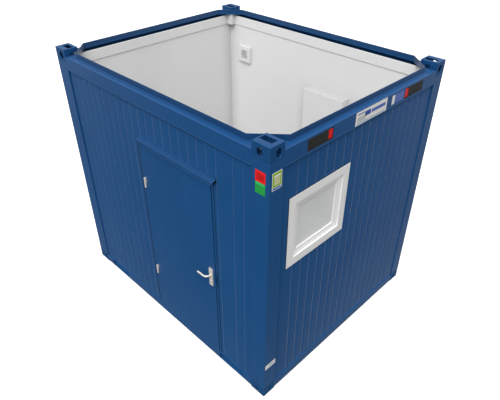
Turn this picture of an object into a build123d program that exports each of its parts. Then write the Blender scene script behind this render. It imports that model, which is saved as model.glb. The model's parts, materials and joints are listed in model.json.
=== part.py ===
from build123d import *
import math
import os

# Sanitary container, a ten-foot module, in millimetres with +Z up.
# X runs along the length, the door wall faces -Y and the window wall faces +X.
# The origin is the middle of the footprint, at the level of the base castings' feet.

# Overall module
LENGTH = 2989.0
WIDTH = 2435.0
HEIGHT = 2800.0

# Running fits
PIN_CLEARANCE = 0.05
RUNNING_GAP = 0.3
BLIND_RELIEF = 1.0

# Corner castings
CASTING_LENGTH = 178.0
CASTING_WIDTH = 150.0
CASTING_HEIGHT = 131.0
CASTING_WALL = 12.0
APERTURE_LENGTH = 124.0
APERTURE_WIDTH = 63.5
HOLE_FROM_END = 101.5
HOLE_FROM_SIDE = 89.0
TOP_SLOT_WIDTH = 60.0
TOP_SLOT_HEIGHT = 80.0
TOP_SLOT_LEVEL = 73.0
BASE_SLOT_WIDTH = 40.0
BASE_SLOT_HEIGHT = 46.0
BASE_SLOT_LEVEL = 42.0

# Corner posts and the downpipes inside them
POST_DEPTH = 85.0
POST_WALL = 4.0
DOWNPIPE_DIAMETER = 50.0
DOWNPIPE_WALL = 2.0

# Base frame and floor
RAIL_BOTTOM = 15.0
RAIL_TOP = 112.0
RAIL_SHEET = 3.0
RAIL_FLANGE = 60.0
POCKET_WIDTH = 352.0
POCKET_END_GAP = 66.0
POCKET_INNER_GAP = 46.0
SLEEVE_WALL = 3.0
MEMBER_WIDTH = 40.0
MEMBER_SHEET = 3.0
INNER_MEMBERS = 5
MEMBER_END_GAP = 6.5
UNDERFLOOR_SHEET = 2.0
FLOOR_COVERING = 3.0

# Walls
SKIN_DEPTH = 15.0
SKIN_SHEET = 2.0
GROOVE_PITCH = 116.4
GROOVE_DEPTH = 3.0
GROOVE_MOUTH = 34.0
GROOVE_FLOOR = 20.0
FIRST_FRONT_GROOVE = 114.0
LINING = 10.0

# Roof frame
LEDGE_DROP = 72.0
LEDGE_WIDTH = 66.0
BEAM_HEIGHT = 133.0
BEAM_SHEET = 4.0
BEAM_LIP = 45.0
UPSTAND_HEIGHT = 54.0
CORNER_CUT_LONG = 116.5
CORNER_CUT_SHORT = 124.5

# Trims inside, at the top of the walls
TRIM_THICKNESS = 18.0
TRIM_DROP = 28.0
COVER_THICKNESS = 10.0
COVER_FLOOR = 5.0
COVER_DROP = 6.0

# Door
DOOR_LEFT = -127.0
DOOR_WIDTH = 968.0
DOOR_HEIGHT = 2080.0
DOOR_THICKNESS = 45.0
DOOR_SHEET = 1.5
DOOR_FACE_DEPTH = 3.0
DOOR_GAP = 4.0
DOOR_FOOT_GAP = 2.0
HINGE_JAMB = 55.0
LOCK_JAMB = 21.0
HEAD_JAMB = 80.0
FRAME_FACE_DEPTH = 12.0
STOP_WIDTH = 20.0
SEAL_THICKNESS = 2.7
SEAL_WIDTH = 12.0
THRESHOLD_HEIGHT = 28.0
CANOPY_REACH = 48.5
CANOPY_FALL = 16.5
CANOPY_FOLD = 8.0
CANOPY_SHEET = 2.0
CANOPY_FLANGE = 26.0
CANOPY_PAST_HINGES = 24.0
CANOPY_PAST_LOCK = 66.0

# Door hinges
HINGE_LEVELS = (650.0, 1785.0)
HINGE_LENGTH = 108.0
HINGE_RADIUS = 10.0
HINGE_PIN_RADIUS = 5.0
HINGE_TAB = 4.0
HINGE_SPLIT_GAP = 1.0

# Door lock and levers
LEVER_LEVEL = 1176.0
BACKSET = 54.0
CYLINDER_DROP = 72.0
PLATE_WIDTH = 48.0
PLATE_HEIGHT = 212.0
PLATE_THICKNESS = 8.0
PLATE_ROUND = 6.0
PLATE_ABOVE_LEVER = 78.0
LEVER_RADIUS = 9.0
LEVER_REACH = 62.0
LEVER_LENGTH = 120.0
LEVER_BEND = 45.0
SPINDLE_RADIUS = 5.0
LOCK_WIDTH = 82.0
LOCK_HEIGHT = 165.0
LOCK_THICKNESS = 16.0
LOCK_ABOVE_LEVER = 55.0
LATCH_LENGTH = 44.0
LATCH_HEIGHT = 24.0
BOLT_HEIGHT = 26.0
BOLT_LENGTH = 36.0
BOLT_THICKNESS = 10.0
LATCH_BEVEL = 7.0
LATCH_THROW = 12.0
BOLT_THROW = 14.0
KEEPER_MARGIN = 30.0
THUMBTURN_RADIUS = 8.0
THUMBTURN_WING = 32.0
THUMBTURN_HUB = 8.0
THUMBTURN_REACH = 16.0
KEYWAY_PROUD = 3.2

# Window
WINDOW_INSET = 246.0
WINDOW_DROP = 336.0
WINDOW_WIDTH = 776.0
WINDOW_HEIGHT = 716.0
WINDOW_FLANGE = 6.0
WINDOW_OVERLAP = 30.0
WINDOW_BAR = 80.0
SASH_REBATE = 12.0
SASH_FACE_DEPTH = 30.0
SASH_STOP_GAP = 3.0
SASH_THICKNESS = 45.0
SASH_GAP = 4.0
SASH_BAR = 64.0
GLASS_BITE = 12.0
GLASS_SETBACK = 12.0
GLASS_THICKNESS = 22.0
PANE = 4.0
SASH_PIN_RADIUS = 4.0
SASH_PIN_LENGTH = 14.0
SASH_PIN_SETBACK = 10.0
SASH_PIN_LEVEL = 12.0
WINDOW_HANDLE_LENGTH = 115.0
WINDOW_HANDLE_WIDTH = 18.0
WINDOW_HANDLE_NECK = 26.0
WINDOW_HANDLE_PIN = 6.0
WINDOW_HANDLE_DEPTH = 12.0

# Power boxes in the roof beam above the window wall
POWER_CENTRE = 670.0
POWER_SHIFT = 8.0
POWER_LENGTH = 306.0
POWER_HEIGHT = 100.0
POWER_RISE = 15.0
POWER_DEPTH = 60.0
POWER_WALL = 3.0
CONNECTOR_WIDTH = 53.0
CONNECTOR_INSET = 2.0
CONNECTOR_MARGIN = 10.0
LID_THICKNESS = 4.0
LID_PIN_RADIUS = 2.5
LID_INSET = 1.0

# Fan on the back wall
FAN_FROM_END = 279.5
FAN_DROP = 345.0
FAN_COVER_WIDTH = 210.0
FAN_COVER_HEIGHT = 200.0
FAN_COVER_DEPTH = 30.0
FAN_COVER_WALL = 3.0
FAN_DUCT_RADIUS = 52.0
FAN_DUCT_WALL = 2.5
FAN_MOTOR_RADIUS = 25.0
FAN_MOTOR_LENGTH = 30.0
FAN_SHAFT_RADIUS = 3.0
FAN_HUB_RADIUS = 20.0
FAN_HUB_LENGTH = 22.0
FAN_BLADES = 6
FAN_BLADE_PITCH = 35.0
FAN_BLADE_CHORD = 17.6
FAN_SLOTS = 7
FAN_TIP_GAP = 3.0
FAN_GRILLE = 150.0
FAN_GRILLE_DEPTH = 11.0

# Wall cabinet
CABINET_WIDTH = 555.0
CABINET_HEIGHT = 700.0
CABINET_TOP = 2135.0
CABINET_DEPTH = 127.0
CABINET_PANEL = 16.0
CABINET_PIN_RADIUS = 3.0
CABINET_LUG = 6.0

# Wash basin and tap
BASIN_X = 257.5
BASIN_RIM = 984.0
BASIN_WIDTH = 550.0
BASIN_DEPTH = 450.0
BASIN_HEIGHT = 160.0
BASIN_FOOT_WIDTH = 380.0
BASIN_FOOT_DEPTH = 300.0
BOWL_WIDTH = 460.0
BOWL_LENGTH = 290.0
BOWL_DEPTH = 125.0
BOWL_FOOT_WIDTH = 252.0
BOWL_FOOT_LENGTH = 180.0
TAP_RADIUS = 20.0
TAP_HEIGHT = 80.0
TAP_FROM_WALL = 55.0
SPOUT_REACH = 125.0
SPOUT_DROP = 30.0
TAP_LEVER_LENGTH = 87.5
SPOUT_RADIUS = 10.0
TAP_PIN_RADIUS = 6.0

# Toilet
TOILET_FROM_WALL = 672.5
TOILET_HEIGHT = 400.0
TOILET_WIDTH = 370.0
TOILET_LENGTH = 480.0
TOILET_REACH = 700.0
TOILET_SPINE = 220.0
TOILET_FOOT_LENGTH = 336.0
TOILET_FOOT_WIDTH = 222.0
TOILET_RIM = 45.0
TOILET_BOWL_DEPTH = 220.0
CERAMIC_WALL = 12.0
CISTERN_WIDTH = 380.0
CISTERN_DEPTH = 165.0
CISTERN_HEIGHT = 350.0
SEAT_THICKNESS = 20.0
SEAT_RING = 75.0
SEAT_PIN_RADIUS = 6.0
SEAT_HINGE_REACH = 222.0
BUTTON_RADIUS = 20.0
BUTTON_TRAVEL = 6.0

# Shower
TRAY_LENGTH = 910.0
TRAY_WIDTH = 900.0
TRAY_HEIGHT = 60.0
TRAY_RIM = 45.0
TRAY_DEPTH = 35.0
SCREEN_THICKNESS = 20.0
SCREEN_TOP = 2000.0
SCREEN_POST = 30.0
SHOWER_PIN_RADIUS = 5.0
SHOWER_LUG = 14.0
SHOWER_DOOR_END_GAP = 18.0
VALVE_LEVEL = 1230.0
VALVE_SIZE = 60.0
VALVE_DEPTH = 40.0
RISER_RADIUS = 10.0
SHOWER_HEAD_LEVEL = 2120.0
SHOWER_HEAD_RADIUS = 55.0
SHOWER_ARM = 240.0
KNOB_RADIUS = 24.0
KNOB_DEPTH = 28.0
KNOB_GRIPS = 8

# Water heater and pipes
BOILER_END_GAP = 25.5
BOILER_WALL_GAP = 45.0
BOILER_RADIUS = 225.0
BOILER_BOTTOM = 1100.0
BOILER_HEIGHT = 800.0
BOILER_ROUND = 55.0
BOILER_SHEET = 3.0
BRACKET_WIDTH = 200.0
BRACKET_HEIGHT = 60.0
PIPE_RADIUS = 8.0
PIPE_WALL = 1.0
ELBOW_OUTSIDE = 1.6
ELBOW_INSIDE = 1.2
PIPE_FROM_WALL = 102.0
COLD_LEVEL = 600.0
HOT_LEVEL = 560.0
PIPE_SPREAD = 60.0
TAP_PIPE_SPREAD = 50.0
INLET_RADIUS = 13.2
STUB_DEPTH = 2.0
INLET_BORE_RADIUS = 9.5
INLET_BORE_LENGTH = 25.0
SOIL_RADIUS = 55.0
SOIL_WALL = 3.0
SOIL_LEVEL = 320.0
WASTE_RADIUS = 20.0
WASTE_WALL = 3.0
WASTE_LEVEL = 480.0
WASTE_BORE_LENGTH = 60.0

# Convector heater under the window
HEATER_INSET = 172.5
HEATER_WIDTH = 700.0
HEATER_BOTTOM = 300.0
HEATER_HEIGHT = 400.0
HEATER_DEPTH = 80.0
HEATER_SHEET = 3.0
HEATER_SLOTS = 5
HEATER_KNOB_RADIUS = 16.0
HEATER_KNOB_DEPTH = 15.0
HEATER_KNOB_MARGIN = 50.0
HEATER_PIN_LENGTH = 9.0

# Distribution box on the front wall
PANEL_END_GAP = 99.5
PANEL_WIDTH = 300.0
PANEL_DROP = 345.0
PANEL_HEIGHT = 350.0
PANEL_DEPTH = 90.0
PANEL_WALL = 4.0
PANEL_COVER = 6.0
PANEL_PIN_RADIUS = 2.0
BREAKER_HEIGHT = 80.0
BREAKER_MARGIN = 24.0
BREAKER_SETBACK = 12.0

# Levels and insets that follow from the sizes above
WALL_INNER = POST_DEPTH + LINING
ROOM_X = LENGTH / 2 - WALL_INNER
ROOM_Y = WIDTH / 2 - WALL_INNER
FLOOR = CASTING_HEIGHT + FLOOR_COVERING
LEDGE_LEVEL = HEIGHT - LEDGE_DROP
WALL_TOP = LEDGE_LEVEL - BEAM_HEIGHT
SKIN_BACK = SKIN_DEPTH + GROOVE_DEPTH + SKIN_SHEET
RAIL_UNDERSIDE = RAIL_TOP - RAIL_SHEET
RAIL_SEAT = RAIL_BOTTOM + RAIL_SHEET
WINDOW_LEFT = -WIDTH / 2 + WINDOW_INSET
WINDOW_BOTTOM = WALL_TOP - WINDOW_DROP - WINDOW_HEIGHT
POWER_LEVEL = WALL_TOP + POWER_RISE
FAN_X = -ROOM_X + FAN_FROM_END
FAN_LEVEL = WALL_TOP - FAN_DROP
TOILET_Y = ROOM_Y - TOILET_FROM_WALL
PANEL_BOTTOM = WALL_TOP - PANEL_DROP - PANEL_HEIGHT
BOILER_X = ROOM_X - BOILER_END_GAP - BOILER_RADIUS
BOILER_Y = ROOM_Y - BOILER_WALL_GAP - BOILER_RADIUS
BOWL_Y = ROOM_Y - BASIN_DEPTH + (BASIN_DEPTH - BOWL_LENGTH) / 4 + BOWL_LENGTH / 2

# Each side's length, the width across it, its castings' length along it and its turn about Z
SIDES = {
    "front": (LENGTH, WIDTH, CASTING_LENGTH, 0),
    "right": (WIDTH, LENGTH, CASTING_WIDTH, 90),
    "back": (LENGTH, WIDTH, CASTING_LENGTH, 180),
    "left": (WIDTH, LENGTH, CASTING_WIDTH, 270),
}

NODES = {}


def block(x0, x1, y0, y1, z0, z1):
    """A box between two corners."""
    middle = Pos((x0 + x1) / 2, (y0 + y1) / 2, (z0 + z1) / 2)
    return middle * Box(x1 - x0, y1 - y0, z1 - z0)


def rod_x(radius, x0, x1, y, z):
    """A round bar along X."""
    return Pos((x0 + x1) / 2, y, z) * Rot(0, 90, 0) * Cylinder(radius, x1 - x0)


def rod_y(radius, y0, y1, x, z):
    """A round bar along Y."""
    return Pos(x, (y0 + y1) / 2, z) * Rot(90, 0, 0) * Cylinder(radius, y1 - y0)


def rod_z(radius, z0, z1, x, y):
    """A round bar along Z."""
    return Pos(x, y, (z0 + z1) / 2) * Cylinder(radius, z1 - z0)


def upright(points, z0, z1):
    """A plan outline carried up from z0 to z1."""
    outline = make_face(Polyline(*points, close=True))
    return Pos(0, 0, z0) * extrude(outline, z1 - z0, dir=(0, 0, 1))


def bar(points, x0, x1):
    """A section of (depth, level) points carried along X."""
    outline = Plane.YZ * make_face(Polyline(*points, close=True))
    return Pos(x0, 0, 0) * extrude(outline, x1 - x0, dir=(1, 0, 0))


def place(side, shape):
    """Stand a shape drawn for the front wall, with Y as depth from the outer face, at a side."""
    across = SIDES[side][1]
    turn = SIDES[side][3]
    return Rot(0, 0, turn) * Pos(0, -across / 2, 0) * shape


def reach(side):
    """Half the length between the castings of a side."""
    return SIDES[side][0] / 2 - SIDES[side][2]


def at_corners(shape):
    """Four copies of a shape drawn with X and Y as insets from an outer corner."""
    first = Pos(-LENGTH / 2, -WIDTH / 2, 0) * shape
    second = mirror(first, about=Plane.YZ)
    return [first, second, mirror(first, about=Plane.XZ), mirror(second, about=Plane.XZ)]


def group(*shapes):
    """Separate solids held together as one node."""
    return Compound([solid for shape in shapes for solid in shape.solids()])


def casting_shape(slot_width, slot_height, slot_level):
    """A hollow casting on its outer face, with its aperture, side slots and the downpipe's hole."""
    wall = CASTING_WALL
    casting = block(0, CASTING_LENGTH, 0, CASTING_WIDTH, 0, CASTING_HEIGHT)
    casting -= block(
        wall, CASTING_LENGTH - wall, wall, CASTING_WIDTH - wall, wall, CASTING_HEIGHT - wall
    )
    along = APERTURE_LENGTH / 2
    side = APERTURE_WIDTH / 2
    casting -= block(
        HOLE_FROM_END - along, HOLE_FROM_END + along, HOLE_FROM_SIDE - side, HOLE_FROM_SIDE + side, 0, wall
    )
    radius = slot_width / 2
    straight = slot_height / 2 - radius
    casting -= block(
        HOLE_FROM_END - radius, HOLE_FROM_END + radius, 0, CASTING_WIDTH,
        slot_level - straight, slot_level + straight,
    )
    casting -= block(
        0, CASTING_LENGTH, HOLE_FROM_SIDE - radius, HOLE_FROM_SIDE + radius,
        slot_level - straight, slot_level + straight,
    )
    for level in (slot_level - straight, slot_level + straight):
        casting -= rod_y(radius, 0, CASTING_WIDTH, HOLE_FROM_END, level)
        casting -= rod_x(radius, 0, CASTING_LENGTH, HOLE_FROM_SIDE, level)
    middle = POST_DEPTH / 2
    bore = DOWNPIPE_DIAMETER / 2 - DOWNPIPE_WALL
    casting -= rod_z(bore, CASTING_HEIGHT - wall, CASTING_HEIGHT, middle, middle)
    return casting


def corner_frame():
    """Castings, posts and downpipes at the four corners."""
    lower = casting_shape(BASE_SLOT_WIDTH, BASE_SLOT_HEIGHT, BASE_SLOT_LEVEL)
    NODES["base_corner_castings"] = group(*at_corners(lower))
    upper = casting_shape(TOP_SLOT_WIDTH, TOP_SLOT_HEIGHT, TOP_SLOT_LEVEL)
    upper = mirror(upper, about=Plane.XY.offset(HEIGHT / 2))
    NODES["top_corner_castings"] = group(*at_corners(upper))

    def angle(inset):
        deep = POST_DEPTH - inset
        return [
            (inset, inset),
            (CASTING_LENGTH - inset, inset),
            (CASTING_LENGTH - inset, deep),
            (deep, deep),
            (deep, CASTING_WIDTH - inset),
            (inset, CASTING_WIDTH - inset),
        ]

    post_top = HEIGHT - CASTING_HEIGHT
    post = upright(angle(0), CASTING_HEIGHT, post_top)
    post -= upright(angle(POST_WALL), CASTING_HEIGHT, post_top)
    NODES["corner_posts"] = group(*at_corners(post))
    middle = POST_DEPTH / 2
    pipe = rod_z(DOWNPIPE_DIAMETER / 2, CASTING_HEIGHT, post_top, middle, middle)
    pipe -= rod_z(DOWNPIPE_DIAMETER / 2 - DOWNPIPE_WALL, CASTING_HEIGHT, post_top, middle, middle)
    NODES["post_downpipes"] = group(*at_corners(pipe))


def notched_plate(inset_x, inset_y, z0, z1):
    """A floor sheet cut out around the four castings."""
    half_x = LENGTH / 2 - inset_x
    half_y = WIDTH / 2 - inset_y
    plate = block(-half_x, half_x, -half_y, half_y, z0, z1)
    for corner in at_corners(block(0, CASTING_LENGTH, 0, CASTING_WIDTH, z0, z1)):
        plate -= corner
    return plate


def base_frame():
    """Base rails, fork pocket sleeves, cross members, floor sheets and floor insulation."""
    section = [
        (0, RAIL_BOTTOM),
        (RAIL_FLANGE, RAIL_BOTTOM),
        (RAIL_FLANGE, RAIL_SEAT),
        (RAIL_SHEET, RAIL_SEAT),
        (RAIL_SHEET, RAIL_UNDERSIDE),
        (POST_DEPTH, RAIL_UNDERSIDE),
        (POST_DEPTH, RAIL_TOP),
        (0, RAIL_TOP),
    ]
    half = MEMBER_WIDTH / 2
    end_member = LENGTH / 2 - CASTING_LENGTH - half - MEMBER_END_GAP
    pocket_half = POCKET_WIDTH / 2 + SLEEVE_WALL
    pocket_middle = end_member - half - POCKET_END_GAP - pocket_half
    pockets = (-pocket_middle, pocket_middle)
    rails = []
    for side in SIDES:
        rail = bar(section, -reach(side), reach(side))
        if side in ("front", "back"):
            for x in pockets:
                rail -= block(x - pocket_half, x + pocket_half, 0, RAIL_SHEET, RAIL_SEAT, RAIL_UNDERSIDE)
        rails.append(place(side, rail))
    NODES["base_rails"] = group(*rails)

    half_width = WIDTH / 2
    sleeves = []
    for x in pockets:
        sleeve = block(
            x - pocket_half, x + pocket_half, -half_width, half_width, RAIL_SEAT, RAIL_UNDERSIDE
        )
        sleeve -= block(
            x - POCKET_WIDTH / 2, x + POCKET_WIDTH / 2, -half_width, half_width,
            RAIL_SEAT + SLEEVE_WALL, RAIL_UNDERSIDE - SLEEVE_WALL,
        )
        sleeves.append(sleeve)
    NODES["fork_pocket_sleeves"] = group(*sleeves)

    last_inner = pocket_middle - pocket_half - POCKET_INNER_GAP - half
    pitch = 2 * last_inner / (INNER_MEMBERS - 1)
    centres = [-end_member, *(k * pitch - last_inner for k in range(INNER_MEMBERS)), end_member]
    inside = half_width - RAIL_SHEET
    members = []
    for x in centres:
        member = block(x - half, x + half, -inside, inside, RAIL_SEAT, RAIL_UNDERSIDE)
        member -= block(
            x - half + MEMBER_SHEET, x + half, -inside, inside,
            RAIL_SEAT + MEMBER_SHEET, RAIL_UNDERSIDE - MEMBER_SHEET,
        )
        members.append(member)
    NODES["floor_cross_members"] = group(*members)

    taken = [(x - half, x + half) for x in centres]
    taken += [(x - pocket_half, x + pocket_half) for x in pockets]
    taken.sort()
    slabs = []
    for left, right in zip(taken, taken[1:]):
        slabs.append(block(left[1], right[0], -inside, inside, RAIL_SEAT, RAIL_UNDERSIDE))
    end_inside = reach("right")
    end_face = LENGTH / 2 - RAIL_SHEET
    for turn in (0, 180):
        slab = block(taken[-1][1], end_face, -end_inside, end_inside, RAIL_SEAT, RAIL_UNDERSIDE)
        slabs.append(Rot(0, 0, turn) * slab)

    NODES["underfloor_sheet"] = notched_plate(
        RAIL_FLANGE, RAIL_FLANGE, RAIL_SEAT - UNDERFLOOR_SHEET, RAIL_SEAT
    )
    board = notched_plate(POST_DEPTH, POST_DEPTH, RAIL_UNDERSIDE, CASTING_HEIGHT)
    board -= place("front", block(*door_span(), POST_DEPTH, WALL_INNER, RAIL_UNDERSIDE, CASTING_HEIGHT))
    NODES["floor_board"] = board
    NODES["floor_covering"] = block(-ROOM_X, ROOM_X, -ROOM_Y, ROOM_Y, CASTING_HEIGHT, FLOOR)
    return slabs


def door_span():
    """Left and right outer faces of the door frame."""
    left = DOOR_LEFT - DOOR_GAP - HINGE_JAMB
    right = DOOR_LEFT + DOOR_WIDTH + DOOR_GAP + LOCK_JAMB
    return left, right


def door_levels():
    """Foot and top of the door leaf, and the top of the frame."""
    foot = RAIL_TOP + DOOR_FOOT_GAP
    top = foot + DOOR_HEIGHT
    return foot, top, top + DOOR_GAP + HEAD_JAMB


def window_hole():
    """The hole in the window wall: left, right, bottom and top."""
    return (
        WINDOW_LEFT + WINDOW_OVERLAP,
        WINDOW_LEFT + WINDOW_WIDTH - WINDOW_OVERLAP,
        WINDOW_BOTTOM + WINDOW_OVERLAP,
        WINDOW_BOTTOM + WINDOW_HEIGHT - WINDOW_OVERLAP,
    )


def wall_fields(side, half, bottom):
    """The rectangles of a wall around its door or window: left, right, bottom and top."""
    if side == "front":
        left, right = door_span()
        top = door_levels()[2]
        return [
            (-half, left, bottom, WALL_TOP),
            (right, half, bottom, WALL_TOP),
            (left, right, top, WALL_TOP),
        ]
    if side == "right":
        left, right, low, high = window_hole()
        return [
            (-half, half, bottom, low),
            (-half, half, high, WALL_TOP),
            (-half, left, low, high),
            (right, half, low, high),
        ]
    return [(-half, half, bottom, WALL_TOP)]


def wall_pipes():
    """Every round thing that passes through a wall: fan duct, soil pipe, waste pipe and water inlet."""
    fan = rod_y(FAN_DUCT_RADIUS, ROOM_Y, WIDTH / 2 - SKIN_DEPTH, FAN_X, FAN_LEVEL)
    soil = rod_x(SOIL_RADIUS, -LENGTH / 2 + STUB_DEPTH, -ROOM_X, TOILET_Y, SOIL_LEVEL)
    waste = rod_y(WASTE_RADIUS, ROOM_Y, WIDTH / 2 - STUB_DEPTH, BASIN_X, WASTE_LEVEL)
    inlet = rod_y(INLET_RADIUS, ROOM_Y, WIDTH / 2 - STUB_DEPTH, BOILER_X - PIPE_SPREAD, COLD_LEVEL)
    return {"back": [fan, waste, inlet], "left": [soil]}


def groove_places(side):
    """Where the upright grooves of a side lie along it."""
    half = reach(side)
    if side == "front":
        first = -half + FIRST_FRONT_GROOVE
        last = door_span()[1] + GROOVE_PITCH / 2
        places = []
        groove = first
        while groove < last:
            places.append(groove)
            groove += GROOVE_PITCH
        return places + [-first - GROOVE_PITCH, -first]
    count = int((half - GROOVE_MOUTH) / GROOVE_PITCH)
    return [(k + 0.5) * GROOVE_PITCH for k in range(-count, count)]


def grooved_sheet(side):
    """The steel sheet of one side, with its upright grooves and a flat back."""
    half = reach(side)
    mouth = GROOVE_MOUTH / 2
    floor = GROOVE_FLOOR / 2
    outline = [(-half, SKIN_DEPTH)]
    for x in groove_places(side):
        outline += [
            (x - mouth, SKIN_DEPTH),
            (x - floor, SKIN_DEPTH + GROOVE_DEPTH),
            (x + floor, SKIN_DEPTH + GROOVE_DEPTH),
            (x + mouth, SKIN_DEPTH),
        ]
    outline += [(half, SKIN_DEPTH), (half, SKIN_BACK), (-half, SKIN_BACK)]
    sheet = upright(outline, RAIL_TOP, WALL_TOP)
    if side == "front":
        sheet -= block(*door_span(), 0, POST_DEPTH, RAIL_TOP, door_levels()[2])
    if side == "right":
        left, right, low, high = window_hole()
        sheet -= block(left, right, 0, POST_DEPTH, low, high)
    return sheet


def walls(floor_slabs):
    """Outer skins, insulation slabs and inner linings on all four sides."""
    skins = []
    slabs = list(floor_slabs)
    linings = []
    pipes = wall_pipes()
    for side in SIDES:
        side_skins = [grooved_sheet(side)]
        side_slabs = [
            block(left, right, SKIN_BACK, POST_DEPTH, bottom, top)
            for left, right, bottom, top in wall_fields(side, reach(side), RAIL_TOP)
        ]
        long_side = side in ("front", "back")
        lining_half = SIDES[side][0] / 2 - (POST_DEPTH if long_side else WALL_INNER)
        side_linings = [
            block(left, right, POST_DEPTH, WALL_INNER, bottom, top)
            for left, right, bottom, top in wall_fields(side, lining_half, CASTING_HEIGHT)
        ]
        for shapes, found in ((side_skins, skins), (side_slabs, slabs), (side_linings, linings)):
            for shape in shapes:
                placed = place(side, shape)
                for pipe in pipes.get(side, []):
                    placed -= pipe
                found.append(placed)
    NODES["wall_outer_skins"] = group(*skins)
    NODES["insulation_slabs"] = group(*slabs)
    NODES["wall_linings"] = group(*linings)


def power_boxes_span():
    """Left and right ends of the two power boxes along the window wall."""
    half = POWER_LENGTH / 2
    return [
        (centre + POWER_SHIFT - half, centre + POWER_SHIFT + half)
        for centre in (-POWER_CENTRE, POWER_CENTRE)
    ]


def roof_frame():
    """Roof beams with gutter ledge and upstand, and the gutter's corner plates."""
    inner = POST_DEPTH - BEAM_SHEET
    section = [
        (0, WALL_TOP),
        (POST_DEPTH, WALL_TOP),
        (POST_DEPTH, WALL_TOP + BEAM_LIP),
        (inner, WALL_TOP + BEAM_LIP),
        (inner, WALL_TOP + BEAM_SHEET),
        (BEAM_SHEET, WALL_TOP + BEAM_SHEET),
        (BEAM_SHEET, LEDGE_LEVEL - BEAM_SHEET),
        (LEDGE_WIDTH, LEDGE_LEVEL - BEAM_SHEET),
        (LEDGE_WIDTH, LEDGE_LEVEL),
        (0, LEDGE_LEVEL),
    ]
    upstand_top = LEDGE_LEVEL + UPSTAND_HEIGHT
    beams = []
    for side in SIDES:
        beam = bar(section, -reach(side), reach(side))
        cut = CORNER_CUT_LONG if side in ("front", "back") else CORNER_CUT_SHORT
        end = reach(side) - cut
        beam += block(-end, end, LEDGE_WIDTH - BEAM_SHEET, LEDGE_WIDTH, LEDGE_LEVEL, upstand_top)
        if side == "right":
            for left, right in power_boxes_span():
                beam -= block(left, right, 0, BEAM_SHEET, POWER_LEVEL, POWER_LEVEL + POWER_HEIGHT)
        beams.append(place(side, beam))
    NODES["roof_beams"] = group(*beams)

    long_end = CASTING_LENGTH + CORNER_CUT_LONG
    short_end = CASTING_WIDTH + CORNER_CUT_SHORT
    plate = upright(
        [
            (long_end, LEDGE_WIDTH),
            (CASTING_LENGTH, LEDGE_WIDTH),
            (CASTING_LENGTH, CASTING_WIDTH),
            (LEDGE_WIDTH, CASTING_WIDTH),
            (LEDGE_WIDTH, short_end),
        ],
        LEDGE_LEVEL - BEAM_SHEET,
        LEDGE_LEVEL,
    )
    run_x = long_end - LEDGE_WIDTH
    run_y = short_end - LEDGE_WIDTH
    span = math.hypot(run_x, run_y)
    step_x = BEAM_SHEET * run_y / span
    step_y = BEAM_SHEET * run_x / span
    outer = LEDGE_WIDTH - BEAM_SHEET
    plate += upright(
        [
            (long_end, LEDGE_WIDTH),
            (LEDGE_WIDTH, short_end),
            (outer, short_end),
            (outer, short_end - step_y + (BEAM_SHEET - step_x) * run_y / run_x),
            (long_end - step_x + (BEAM_SHEET - step_y) * run_x / run_y, outer),
            (long_end, outer),
        ],
        LEDGE_LEVEL,
        upstand_top,
    )
    NODES["gutter_corner_plates"] = group(*at_corners(plate))


def interior_trims():
    """White strips along the wall tops and hollow covers around the top castings."""
    trims = []
    trim_top = LEDGE_LEVEL - TRIM_DROP
    for side in SIDES:
        end = reach(side) - COVER_THICKNESS
        strip = block(-end, end, POST_DEPTH, POST_DEPTH + TRIM_THICKNESS, WALL_TOP, trim_top)
        trims.append(place(side, strip))
    cover_top = LEDGE_LEVEL - COVER_DROP
    cover = block(
        POST_DEPTH, CASTING_LENGTH + COVER_THICKNESS,
        POST_DEPTH, CASTING_WIDTH + COVER_THICKNESS,
        WALL_TOP, cover_top,
    )
    cover -= block(
        POST_DEPTH, CASTING_LENGTH, POST_DEPTH, CASTING_WIDTH, WALL_TOP + COVER_FLOOR, cover_top
    )
    NODES["interior_trims"] = group(*trims, *at_corners(cover))


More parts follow.
